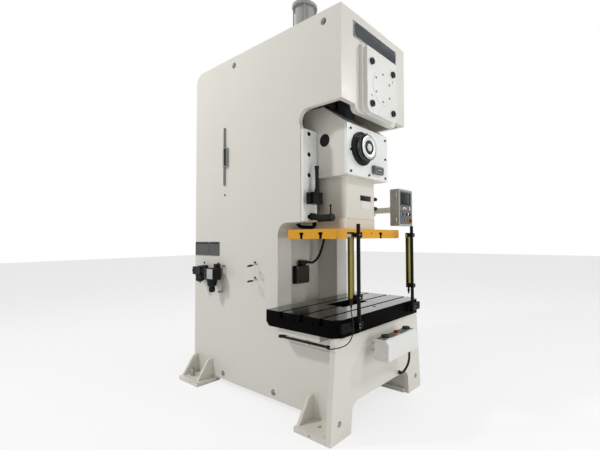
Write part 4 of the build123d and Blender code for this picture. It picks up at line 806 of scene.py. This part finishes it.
# %% Height counter
low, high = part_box("height_indicator")
glass_z = (low.z + high.z) / 2
counter = [block((low.x + 0.004, low.y + 0.006, low.z + 0.004),
                 (high.x - 0.004, high.y, high.z - 0.004), slate_enamel, 0.006, segments=3),
           block((low.x + 0.010, low.y, low.z + 0.010),
                 (high.x - 0.010, low.y + 0.007, high.z - 0.010), slate_enamel, 0.0015,
                 (front, 0.016, -0.004)),
           block((low.x + 0.030, low.y + 0.002, glass_z - 0.013),
                 (high.x - 0.030, low.y + 0.005, glass_z + 0.013), window_glass, 0.001)]
for i in range(4):
    x, y = low.x + 0.050 + i * 0.018, low.y + 0.011
    counter.append(pin((x - 0.007, y, glass_z), (x + 0.007, y, glass_z), 0.0102, hub_white,
                       0.0006, 32))
counter += screws(product((low.x + 0.017, high.x - 0.017), (low.y + 0.0005,),
                          (low.z + 0.017, high.z - 0.017)), front, 0.004, 0.002)
assemble("height_counter", "slide", counter, ["height_indicator"])

# %% [markdown]
# ## Light curtains
# Two upright bars guard the die space: one sends a sheet of infrared light, the other takes
# it in. Each is an extruded aluminium profile, anodised olive yellow, with a dark window
# towards its partner and a black cover strip in the groove on its outer side. Black plastic
# caps close its ends, a bright clamp with two screws holds its head, and a plug leaves its
# foot. The profile is a slab whose long sides are inset and pushed in for the grooves.

# %% Light curtains
low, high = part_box("light_curtains")
half, foot_z, head_z = 0.0225, 0.995, high.z
x = high.x - half
bar = slab((x - half, low.y, foot_z), (x + half, high.y, head_z))
for way in (right, left):
    inset_face(bar, way, 0.006, -0.003)
curtain = [painted(soften(bar, 0.0012), sender_yellow),
           block((x - half + 0.0008, low.y + 0.0065, foot_z + 0.022),
                 (x - half + 0.0035, high.y - 0.0065, head_z - 0.022), window_red, 0.0006),
           block((x + half - 0.0032, low.y + 0.0125, foot_z + 0.008),
                 (x + half - 0.0006, high.y - 0.0062, head_z - 0.008), strip_black, 0.0005)]
for start, end in ((foot_z, foot_z + 0.016), (head_z - 0.014, head_z)):
    curtain.append(block((x - half - 0.0008, low.y - 0.0008, start),
                         (x + half + 0.0008, high.y + 0.0008, end), black_nylon, 0.002))
curtain.append(block((x - half - 0.002, low.y - 0.002, head_z - 0.040),
                     (x + half + 0.002, high.y + 0.002, head_z - 0.015), zinc_plate, 0.0012,
                     (front, 0.004, -0.001)))
curtain += screws([(x + side, low.y - 0.001, head_z - 0.0275) for side in (-0.012, 0.012)],
                  front, 0.004, 0.003)
curtain.append(lathed((x, (low.y + high.y) / 2, foot_z + 0.002), down, 0.011,
                      [(0.012, 0.011), (0.002, 0.009), (0.004, 0.009), (0.002, 0.0115),
                       (0.020, 0.0115), (0.002, 0.008), (0.020, 0.0065)], black_nylon))
curtain += [mirrored(piece) for piece in curtain]
assemble("light_curtain_bars", "frame", curtain, ["light_curtains"])

# %% [markdown]
# ## Screws and clamps of the posts
# The black posts stand in a split clamp on a foot plate, and two grips hold each curtain.
# Each grip is closed by two socket screws at its front, the split clamp by two beside the
# post, and three larger ones hold the foot plate to the table. A cap closes the post.

# %% Post screws
post_x, post_y = 0.4165, -1.101
fixings = screws([(x, post_y - 0.0222, z) for z, x in
                  product((1.017, 1.487), (post_x - 0.014, post_x + 0.014))],
                 front, 0.0045, 0.004)
fixings += screws([(post_x + 0.019, post_y - 0.0202, z) for z in (0.798, 0.822)],
                  front, 0.0045, 0.004)
fixings += screws([(x, -1.0872, z) for x, z in ((0.480, 0.800), (0.480, 0.830), (0.550, 0.815))],
                  front, 0.008, 0.006, black_oxide)
fixings.append(lathed((post_x, post_y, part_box("curtain_posts")[1].z - 0.001), up, 0.016,
                      [(0.003, 0.016), (0.002, 0.013)], black_nylon, sides=32))
fixings += [mirrored(piece) for piece in fixings]
assemble("post_fixings", "frame", fixings)

# %% [markdown]
# ## Air service unit
# Compressed air for the clutch and the counterbalance first passes a filter, which drops
# its water into a bowl, and then a regulator, which sets the pressure. The bodies are die
# cast and black. The filter's bowl is smoked polycarbonate in a slotted black guard. The
# regulator carries a bare silver plate, a small gauge and a ribbed knob below.

# %% Filter
side_x = -0.484
x, y, body_z, body_top = -0.560, 0.875, 1.095, 1.175
unit = [block((x - 0.044, y - 0.070, body_z + 0.002), (x + 0.040, y + 0.070, body_top + 0.003),
              black_nylon, 0.005, (left, 0.008, -0.003), 3)]
for way in (front, back):
    unit.append(lathed((x, y + way.y * 0.066, body_z + 0.040), way, 0.034,
                       [(0.012, 0.034), (0.003, 0.030), (0.024, 0.030), (0.002, 0.024),
                        (0.005, 0.024)], black_nylon, 0.0015, 32))
unit.append(pin((x, y + 0.092, body_z + 0.038), (x, y + 0.113, body_z + 0.038), 0.030,
                bare_silver, 0.0015))
for z, way, first, steps, finish, width, sides in (
        (body_top - 0.001, up, 0.030, [(0.004, 0.028), (0.002, 0.020), (0.006, 0.018)],
         black_nylon, 0.001, 40),
        (body_z + 0.005, down, 0.046, [(0.005, 0.046), (0.002, 0.044), (0.008, 0.044),
                                       (0.002, 0.041)], black_nylon, 0.0008, 48),
        (body_z - 0.011, down, 0.040, [(0.040, 0.039), (0.012, 0.036), (0.008, 0.029),
                                       (0.003, 0.018), (0.003, 0.012)], smoked_bowl, 0.0012, 48),
        (body_z - 0.056, down, 0.0425, [(0.006, 0.0425), (0.002, 0.040)],
         black_nylon, 0.0006, 48),
        (body_z - 0.074, down, 0.012, [(0.003, 0.015), (0.007, 0.015), (0.001, 0.008),
                                       (0.006, 0.008)], bare_silver, 0.0006, 24)):
    unit.append(lathed((x, y, z), way, first, steps, finish, width, sides))
for i in range(10):
    bar = block((-0.004, -0.0425, body_z - 0.058), (0.004, -0.0395, body_z - 0.012),
                black_nylon, 0.0008, segments=1)
    unit.append(turned_about(bar, (x, y, 0), 36 * i, "Z"))
unit.append(block((x + 0.030, y - 0.025, body_z + 0.026), (side_x, y + 0.025, body_z + 0.092),
                  black_nylon, 0.003, (up, 0.006, -0.004)))
assemble("filter_unit", "frame", unit, ["air_filter"])

# %% [markdown]
# The regulator is the taller of the two. Its bonnet flares out under the body, and its
# gauge is a turned cup with a white face, a ring of ticks and a red hand.

# %% Regulator
x, y, low_z, top_z = -0.560, 0.648, 1.075, 1.165
unit = [block((x - 0.050, y - 0.096, low_z - 0.022), (x + 0.040, y + 0.068, top_z + 0.004),
              black_nylon, 0.006, segments=3),
        block((x - 0.0515, y - 0.088, low_z - 0.008), (x - 0.0495, y + 0.012, top_z - 0.001),
              bare_silver, 0.0006)]
for way, reach in ((front, 0.010), (back, 0.033)):
    unit.append(lathed((x, y + way.y * 0.064, low_z + 0.045), way, 0.032,
                       [(0.014, 0.032), (0.003, 0.028), (reach, 0.028), (0.002, 0.024)],
                       black_nylon, 0.0015, 32))
unit += [pin((x, y + 0.100, low_z + 0.045), (x, y + 0.125, low_z + 0.045), 0.019,
             bare_silver, 0.001, 32),
         lathed((x, y, low_z - 0.021), down, 0.048,
                [(0.004, 0.050), (0.004, 0.052), (0.008, 0.052), (0.003, 0.049),
                 (0.042, 0.042), (0.006, 0.036)], black_nylon, 0.001, 48)]
dial_x, dial_y, dial_z = x - 0.006, y - 0.095, 1.112
unit += [lathed((dial_x, dial_y, dial_z), front, 0.014,
                [(0.003, 0.014), (0.001, 0.024), (0.008, 0.025), (0.001, 0.0235),
                 (0.0002, 0.0215), (-0.0025, 0.0215)], black_nylon, 0.0005, 48),
         painted(turned((dial_x, dial_y - 0.0098, dial_z), front, 0.0213,
                        [(0.0008, 0.0213)], 48), dial_white)]
middle = (dial_x, dial_y - 0.0107, dial_z)
for i in range(11):
    tick = painted(slab((-0.0005, -0.0003, 0.0165), (0.0005, 0.0003, 0.0203)), black_nylon)
    unit.append(turned_about(tick, middle, -135 + 27 * i, "Y"))
hand = painted(slab((-0.0007, -0.0005, -0.005), (0.0007, 0.0001, 0.017)), signal_red)
unit.append(turned_about(hand, middle, -40, "Y"))
unit.append(block((x + 0.030, y - 0.025, low_z + 0.040), (side_x, y + 0.025, top_z + 0.044),
                  black_nylon, 0.003, (up, 0.006, -0.004)))
assemble("regulator_unit", "frame", unit, ["air_regulator"])

# %% [markdown]
# The knob is pulled down to unlock it and turned to set the pressure. Its grip is a ring of
# rounded ribs. One rib is a thin bar, turned to its place round the knob.

# %% Regulator knob
low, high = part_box("regulator_knob")
knob = [lathed((x, y, high.z), down, 0.024,
               [(0.004, 0.027), (0.040, 0.0275), (0.006, 0.026), (0.006, 0.020),
                (0.003, 0.012)], black_nylon, 0.0008, 48)]
for i in range(20):
    rib = rod((0, 0.0275, low.z + 0.014), (0, 0.0275, high.z - 0.006), 0.0022, 8)
    knob.append(turned_about(painted(rib, black_nylon), (x, y, 0), 18 * i, "Z"))
assemble("ribbed_knob", "knob", knob, ["regulator_knob"])

# %% [markdown]
# ## Oil level gauge
# A steel channel holds the glass of the level gauge, and a float switch is clipped beside
# it. The glass is a tinted strip in a groove of the channel. The switch has a black front,
# and a hexagon fitting closes each end of the channel.

# %% Level gauge
low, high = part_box("level_gauge")
face_x = -0.498
fittings = [block((face_x - 0.0016, 0.5425, low.z + 0.022),
                  (face_x + 0.0006, 0.5515, high.z - 0.022), window_glass, 0.0007),
            block((low.x - 0.0025, 0.499, 2.206), (low.x + 0.001, 0.5335, 2.382),
                  black_nylon, 0.001, (left, 0.004, -0.001))]
fittings += [pin((face_x + 0.001, 0.547, z), (face_x - 0.006, 0.547, z), 0.0085, zinc_plate,
                 0.0006) for z in (low.z + 0.012, high.z - 0.012)]
fittings += screws([(low.x + 0.0005, 0.5465, z) for z in (2.200, 2.388)], left, 0.003, 0.002)
assemble("gauge_fittings", "frame", fittings)

# %% [markdown]
# ## Vents
# Above the louvres of each vent panel runs a dark strip, painted shade along its top edge.
# Four small screws hold each panel to the frame.

# %% Vent strips
low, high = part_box("side_vent")
vents = []
for start, end in ((low.y, low.y + 0.200), (high.y - 0.254, high.y)):
    # The dark strip along the top of each vent is painted shade.
    vents.append(block((low.x - 0.0012, start + 0.010, high.z - 0.020),
                       (low.x + 0.0005, end - 0.010, high.z - 0.006), strip_black, 0.0005))
    vents += screws(product((low.x + 0.0002,), (start + 0.006, end - 0.006),
                            (low.z + 0.006, high.z - 0.003)), left, 0.0028, 0.0016)
assemble("vent_strips", "frame", vents)

# %% [markdown]
# ## Ring holders
# Two steel rings on the side of the frame hold the long spanner of the bolts. Each is a
# ring of round wire that tips down a little, on a wire arm with a round foot. A socket screw
# sits above it.

# %% Ring holders
rings = []
for z in (1.218, 1.078):
    bpy.ops.mesh.primitive_torus_add(
        major_radius=0.0235, minor_radius=0.0046, major_segments=44, minor_segments=14,
        location=(-0.5585, 0.027, z), rotation=(0, radians(-12), 0))
    rings.append(painted(settle(), black_oxide))
    bpy.ops.object.shade_smooth()
    arm = rod((-0.538, 0.027, z + 0.004), (-0.486, 0.027, z + 0.010), 0.0036, 16)
    bpy.ops.object.shade_smooth_by_angle(angle=radians(40))
    rings += [painted(arm, zinc_plate),
              lathed((side_x, 0.027, z + 0.010), left, 0.010, [(0.003, 0.010), (0.001, 0.0085)],
                     zinc_plate)]
    rings += screws([(side_x - 0.0002, 0.052, z + 0.024)], left, 0.0100, 0.007, black_oxide)
assemble("wire_rings", "frame", rings, ["tool_rings"])

# %% [markdown]
# ## Screws in the side of the frame
# A few black screws stand alone in the left side: they close tapped holes, or hold what is
# behind the plate.

# %% Side screws
loose = screws([(side_x + 0.0005, y, z) for y, z in ((0.922, 1.212), (0.654, 1.213),
                                                   (0.546, 1.911))],
               left, 0.0095, 0.006, black_oxide)
assemble("side_screws", "frame", loose)

# %% [markdown]
# ## Lubrication block
# A pump sends oil to this block on the left guide, and it shares it out to the gibs. Each
# outlet is a round plug fitting with a groove. A rib and three caps stand on its front, and
# the stem with its sleeves carries the supply up along the guide.

# %% Lubrication block
block_y = -0.660
outlets = []
for z in (1.770, 1.801, 1.832):
    for x, way, reach in ((-0.440, left, 0.026), (-0.330, right, 0.012)):
        outlets.append(lathed((x - way.x * 0.001, -0.628, z), way, 0.0105,
                              [(reach * 0.35, 0.0105), (reach * 0.08, 0.0142),
                               (reach * 0.30, 0.0142), (reach * 0.08, 0.0120),
                               (reach * 0.19, 0.0110)], black_oxide))
    outlets.append(lathed((-0.412, block_y + 0.001, z), front, 0.0095,
                          [(0.005, 0.0095), (0.002, 0.008)], black_oxide, sides=24))
outlets.append(block((-0.366, block_y - 0.005, 1.756), (-0.346, block_y + 0.001, 1.846),
                     black_oxide, 0.002))
outlets += screws(product((-0.431, -0.3385), (block_y + 0.0005,), (1.7605, 1.8415)), front,
                  0.004, 0.003, black_oxide)
outlets += [lathed((-0.380, -0.640, z), up, 0.0165, [(0.004, 0.0172), (0.004, 0.0165)],
                   black_oxide, sides=32) for z in (1.886, 1.955, 2.040)]
assemble("lube_fittings", "frame", outlets)

# %% [markdown]
# ## Limit switch
# The round switch under the block tells the control where the slide is. Three rings stand
# round its body, its rod has a collar and a small cap, and two screws hold its clip.

# %% Limit switch
x, z = -0.372, 1.632
switch = []
for y, radius, long in ((-0.8105, 0.0285, 0.007), (-0.790, 0.0318, 0.010),
                        (-0.668, 0.0318, 0.010)):
    switch.append(lathed((x, y, z), back, radius, [(long * 0.8, radius),
                                                   (long * 0.2, radius * 0.95)],
                         black_nylon, 0.0008, 36))
switch += [lathed((x, -0.785, z + 0.028), up, 0.012, [(0.006, 0.012), (0.002, 0.0095)],
                  black_oxide, sides=24),
           lathed((x, -0.785, 1.724), up, 0.0095, [(0.014, 0.0095), (0.003, 0.0075)],
                  black_nylon, sides=24)]
switch += screws([(x, -0.645, 1.6645) for x in (-0.390, -0.354)], (0, -0.18, 0.98),
                 0.005, 0.004)
assemble("switch_rings", "frame", switch)

# %% [markdown]
# ## Slide neck
# The narrow neck of the slide carries a small dark window in a frame, with a bare white
# plate riveted on under it. Two black sensor holders stand out from its right side. A black
# sleeve in each end of the large cross hole through the slide is painted shade for its inside.

# %% Slide neck
y = -0.826
neck = [block((-0.012, y - 0.0012, 1.724), (0.137, y + 0.0004, 1.793), dial_white, 0.0004),
        block((-0.017, y - 0.0030, 1.798), (0.142, y + 0.0004, 1.845), black_abs, 0.0008,
              (front, 0.006, -0.0008)),
        block((-0.008, y - 0.0028, 1.805), (0.133, y - 0.0005, 1.838), window_red, 0.0004)]
for spot in product((-0.006, 0.131), (y - 0.001,), (1.730, 1.787)):
    rivet = turned(spot, front, 0.0030, [(0.0008, 0.0026), (0.0005, 0.001)], 16)
    neck.append(painted(rivet, zinc_plate))
neck += [lathed((0.2325, -0.772, z), right, 0.012,
                [(0.046, 0.012), (0.002, 0.017), (0.012, 0.0185), (0.004, 0.0165),
                 (0.016, 0.0165), (0.003, 0.013)], black_nylon, 0.0008, 32)
         for z in (1.836, 1.746)]
# A black sleeve in each end of the cross hole is painted shade for its dark inside.
neck += [lathed((inwards.x * -0.3065, -0.662, 2.306), inwards, 0.0555,
                [(0.030, 0.0555), (0.0001, 0.050), (-0.024, 0.050)], black_abs, 0.0005, 48)
         for inwards in (right, left)]
assemble("neck_plate_and_sensors", "slide", neck)

# %% [markdown]
# ## Two-hand desk
# Both palm buttons have to be pressed together, so that neither hand can be under the
# slide. They stand in collars on a dark top plate, which lifts off with four screws. The
# collars keep a sleeve from pressing a button. The desk hangs on two brackets, each with a
# weld seam along both edges and four bolts.

# %% Desk
low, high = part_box("two_hand_box")
desk = [block((low.x + 0.012, -1.208, 0.6705), (high.x - 0.012, -1.126, 0.6745),
              slate_enamel, 0.0015)]
desk += screws(product((low.x + 0.022, high.x - 0.022), (-1.200, -1.134), (0.6743,)), up,
               0.0042, 0.0025)
for x, radius, finish in ((-0.165, 0.040, black_abs), (0.0, 0.030, signal_yellow),
                          (0.165, 0.040, black_abs)):
    desk.append(lathed((x, -1.172, 0.6740), up, radius,
                       [(0.0022, radius), (0.0012, radius - 0.0015), (0.0001, 0.0155),
                        (-0.0025, 0.0152)], finish, 0.0004, 48))
for x, way in ((low.x, left), (high.x, right)):
    desk += screws([(x - way.x * 0.0005, y, z) for y, z in
                    ((-1.222, 0.530), (-1.130, 0.530), (-1.130, 0.650))], way, 0.0045, 0.003)
for x in (-0.130, 0.130):
    desk += hex_bolts(product((x - 0.029, x + 0.029), (-1.0478,), (0.553, 0.611)), front, 0.0058)
    desk += [painted(rod((seam, -1.0487, 0.562), (seam, -1.0487, 0.602), 0.0025, 12),
                     white_enamel) for seam in (x - 0.022, x + 0.022)]
assemble("desk_fittings", "frame", desk)

# %% [markdown]
# ## Pendant
# The control pendant hangs from a swinging arm. Its front is a dark panel in a raised rim:
# a screen above, then lamps, selector switches and push buttons in rows, and a yellow
# collar round the stop button. None of them carries a word. A lid, two hinges and the flange
# of the arm are on its other sides.

# %% Pendant
low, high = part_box("pendant_box")
y = low.y + 0.004
control = [block((0.550, y - 0.0015, 1.604), (0.787, y + 0.001, 1.937), panel_grey, 0.0006),
           block((0.572, y - 0.006, 1.800), (0.765, y - 0.0005, 1.925), black_abs, 0.001,
                 (front, 0.011, -0.0025)),
           block((0.584, y - 0.0045, 1.812), (0.753, y - 0.002, 1.913), window_glass, 0.0004)]
lamp_row = [(x, 1.762, finish, 0.006) for x, finish in (
    (0.585, signal_green), (0.627, hub_white), (0.669, signal_yellow), (0.711, signal_red),
    (0.753, hub_white))]
push_row = [(x, 1.640, finish, 0.009) for x, finish in (
    (0.585, signal_green), (0.633, black_abs), (0.681, black_abs))]
for x, z, finish, proud in lamp_row + push_row:
    control += [lathed((x, y - 0.001, z), front, 0.0145,
                       [(0.0025, 0.0145), (0.001, 0.0130), (0.0001, 0.0112),
                        (-0.001, 0.0110)], bright_chrome, 0.0003, 32),
                lathed((x, y - 0.002, z), front, 0.0108,
                       [(proud * 0.75, 0.0108), (proud * 0.25, 0.0090)], finish, 0.0008)]
for x in (0.597, 0.669, 0.741):
    control += [lathed((x, y - 0.001, 1.702), front, 0.0165,
                       [(0.003, 0.0165), (0.0015, 0.0145)], bright_chrome, 0.0004, 32),
                block((x - 0.0045, y - 0.018, 1.6885), (x + 0.0045, y - 0.003, 1.7155),
                      black_abs, 0.003, segments=3)]
control.append(lathed((0.750, y - 0.001, 1.640), front, 0.0285,
                      [(0.0030, 0.0285), (0.0012, 0.0270), (0.0001, 0.0135),
                       (-0.002, 0.0132)], signal_yellow, 0.0004, 40))
control += screws(product((0.556, 0.781), (y - 0.001,), (1.610, 1.931)), front, 0.0035, 0.002)
control.append(block((0.548, high.y - 0.001, 1.602), (0.700, high.y + 0.0015, 1.705),
                     white_enamel, 0.0012))
control += screws(product((0.556, 0.692), (high.y + 0.001,), (1.610, 1.697)), back,
                  0.0035, 0.002)
x = low.x - 0.003
control += [pin((x, -0.872, z - 0.022), (x, -0.872, z + 0.022), 0.0045, zinc_plate, 0.0008, 20)
            for z in (1.648, 1.893)]
control.append(block((0.525, high.y - 0.0005, 1.710), (0.605, high.y + 0.006, 1.780),
                     white_enamel, 0.0012))
assemble("pendant_panel", "pendant", control)

# %% [markdown]
# ## Junction box in the throat
# The box on the back wall joins the cables of the slide. Its lid has four captive screws
# and a rubber line under it, and a large round connector stands on its top.

# %% Junction box
low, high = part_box("junction_box")
y = -0.045
joint = [block((low.x + 0.004, y - 0.009, low.z + 0.004), (high.x - 0.004, y - 0.0012, 1.178),
               dark_box, 0.002, (front, 0.012, 0.002)),
         painted(slab((low.x + 0.003, y - 0.0014, low.z + 0.003),
                      (high.x - 0.003, y + 0.0005, 1.179)), belt_rubber)]
joint += screws(product((low.x + 0.012, high.x - 0.012), (y - 0.0088,), (low.z + 0.012, 1.170)),
                front, 0.0045, 0.003)
joint.append(lathed((0.035, -0.034, 1.1815), up, 0.030,
                    [(0.006, 0.030), (0.002, 0.037), (0.014, 0.038), (0.002, 0.034),
                     (0.004, 0.034), (0.002, 0.038), (0.014, 0.037), (0.006, 0.028),
                     (0.006, 0.020)], black_nylon, 0.0008, 44))
assemble("junction_lid", "frame", joint)

# %% [markdown]
# ## Counterbalance cylinders
# Two air cylinders through the crown carry the weight of the slide. Eight screws hold the
# cap of each, its tie rods end in nuts, and a fitting on the cap lets the air in. A band
# marks each end of the tube.

# %% Cylinder heads
x, y, cap_z, nut_z = 0.350, -0.470, 3.5345, 3.318
air = hex_bolts([(x + a, y + b, cap_z) for a, b in circle(8, 22.5, 0.096)], up, 0.0085)
air.append(lathed((x, y, cap_z), up, 0.020,
                  [(0.006, 0.020), (0.002, 0.014), (0.016, 0.014), (0.002, 0.018),
                   (0.012, 0.018), (0.002, 0.012)], zinc_plate, 0.0008, 32))
air += [pin((x + a, y + b, nut_z), (x + a, y + b, nut_z + 0.011), 0.0125, zinc_plate, 0.0008)
        for a, b in circle(4, 45, 0.098)]
air += [lathed((x, y, z), up, 0.0865, [(0.006, 0.0875), (0.006, 0.0865)], slate_light,
               0.0008, 56) for z in (3.322, 3.496)]
air += [mirrored(piece) for piece in air]
assemble("cylinder_fittings", "frame", air)

# %% [markdown]
# ## Weld beads
# The frame is welded, and where two plates meet at a corner a bead is left: a rounded line
# that fills the corner. Under paint it is soft, so a thin round bar is enough.

# %% Weld beads
welds = []
for x, way in ((-0.4845, -1), (0.4845, 1)):
    for start, end, z in ((-0.988, -0.660, 0.0405), (0.712, 1.058, 0.0405),
                          (-0.868, -0.405, 0.5835), (-0.868, -0.405, 0.7375)):
        welds.append(rod((x, start, z), (x, end, z), 0.004, 10))
    welds += [rod((way * 0.486, y, 0.0405), (way * 0.664, y, 0.0405), 0.0032, 10)
              for y in (-0.950, 0.672)]
for piece in welds:
    painted(alone(piece), cream_enamel)
    bpy.ops.object.shade_smooth_by_angle(angle=radians(60))
assemble("weld_beads", "frame", welds)

# %% [markdown]
# ## The back
# The door of the electrical space has a stiffening tray pressed into it, and a lock plate
# with a keyhole behind its handle. The panel over it is held by bolts along its edges.

# %% Door
y = 1.1185
door = [block((-0.400, y - 0.0015, 0.225), (0.330, y + 0.0035, 1.335), cream_enamel, 0.002,
              (back, 0.020, 0.0025)),
        block((0.350, y - 0.0005, 0.680), (0.410, y + 0.0025, 0.870), bare_silver, 0.0015),
        lathed((0.380, y + 0.0020, 0.850), back, 0.009,
               [(0.003, 0.009), (0.001, 0.0075), (0.0001, 0.003), (-0.002, 0.0028)],
               zinc_plate, 0.0004)]
assemble("door_tray_and_lock", "door", door)

# %% Rear panel bolts
low_z, high_z, panel_y = 1.430, 2.950, 1.1048
places = [*product((-0.425, 0.425), (panel_y,), (low_z, 1.815, 2.200, 2.585, high_z)),
          *product((-0.2125, 0.0, 0.2125), (panel_y,), (low_z, high_z))]
assemble("rear_panel_screws", "frame", hex_bolts(places, back, 0.008))

# %% [markdown]
# ## Floor, backdrop and light
# A catalogue picture of a machine has a white ground and no hard shadows. The floor is pale
# and wide. Rays that come straight from the camera, or off gloss, see it nearly white, and
# it still takes the shadow of the feet. The white of the sky is for those rays too: what
# lights the press is a plain soft grey sky, three large softboxes and three smaller lamps.

# %% Floor
def seen_directly(tree):
    """The kinds of a ray, and 1 where it comes from the camera or off gloss."""
    rays = add_node(tree, "ShaderNodeLightPath", {}).outputs
    return rays, reckon(tree, "MAXIMUM", rays["Is Camera Ray"], rays["Is Glossy Ray"])


bpy.ops.mesh.primitive_plane_add(size=60, location=(0, 0, 0))
floor = bpy.context.object
floor.name = "studio_floor"
pale_floor, tree, surface, place = new_material("pale_studio_floor")
feed(tree, surface, {"Base Color": linear("#f0f0f0"), "Roughness": 0.9})
white = add_node(tree, "ShaderNodeEmission", {"Color": (1, 1, 1, 1), "Strength": 1.0})
both = add_node(tree, "ShaderNodeMixShader", {
    0: reckon(tree, "MULTIPLY", seen_directly(tree)[1], 0.75),
    1: surface.outputs[0], 2: white.outputs[0]})
feed(tree, tree.nodes["Material Output"], {"Surface": both.outputs[0]})
floor.data.materials.append(pale_floor)
floor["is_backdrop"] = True
print("floor", floor.dimensions.x, "m square")

# %% Sky and lamps
world = bpy.data.worlds.new("studio_sky")
bpy.context.scene.world = world
world.use_nodes = True
sky = world.node_tree
rays, direct = seen_directly(sky)
level = add_node(sky, "ShaderNodeMapRange", {
    "Value": reckon(sky, "MAXIMUM", direct, rays["Is Transmission Ray"]),
    "To Min": 0.22, "To Max": 1.0})
feed(sky, sky.nodes["Background"], {"Color": (1, 1, 1, 1), "Strength": level.outputs["Result"]})


def softbox(name, place, target, size, power):
    """A square lamp that looks at a point."""
    data = bpy.data.lights.new(name, "AREA")
    data.size = size
    data.energy = power
    lamp = bpy.data.objects.new(name, data)
    bpy.context.collection.objects.link(lamp)
    lamp.location = place
    lamp.rotation_euler = (Vector(target) - Vector(place)).to_track_quat("-Z", "Y").to_euler()
    return lamp


work = (0, -1, 1.4)
rear_lamp = softbox("rear_left_lamp", (-4.4, 3.5, 6.5), (0, 0, 1.6), 0.7, 280)
rear_lamp.visible_glossy = False
softbox("front_lamp", (1.6, -6.7, 6.6), work, 0.7, 72)
softbox("front_right_lamp", (4.6, -6.0, 5.2), work, 0.8, 90)
softbox("low_front_softbox", (0.5, -5.0, 1.3), work, 1.6, 44)
softbox("left_softbox", (-6.5, -3.5, 4.0), (0, 0, 1.8), 4.0, 50)
softbox("top_softbox", (0.5, -0.5, 8.0), (0, 0, 0), 4.0, 110)
bpy.context.scene.view_settings.view_transform = "Standard"

# %% [markdown]
# ## Measure and finish
# The dressed press must still fill the same box as the bare one, apart from the fittings on
# its cylinders. Here the box of the dressed press is measured.

# %% Size
low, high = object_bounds()
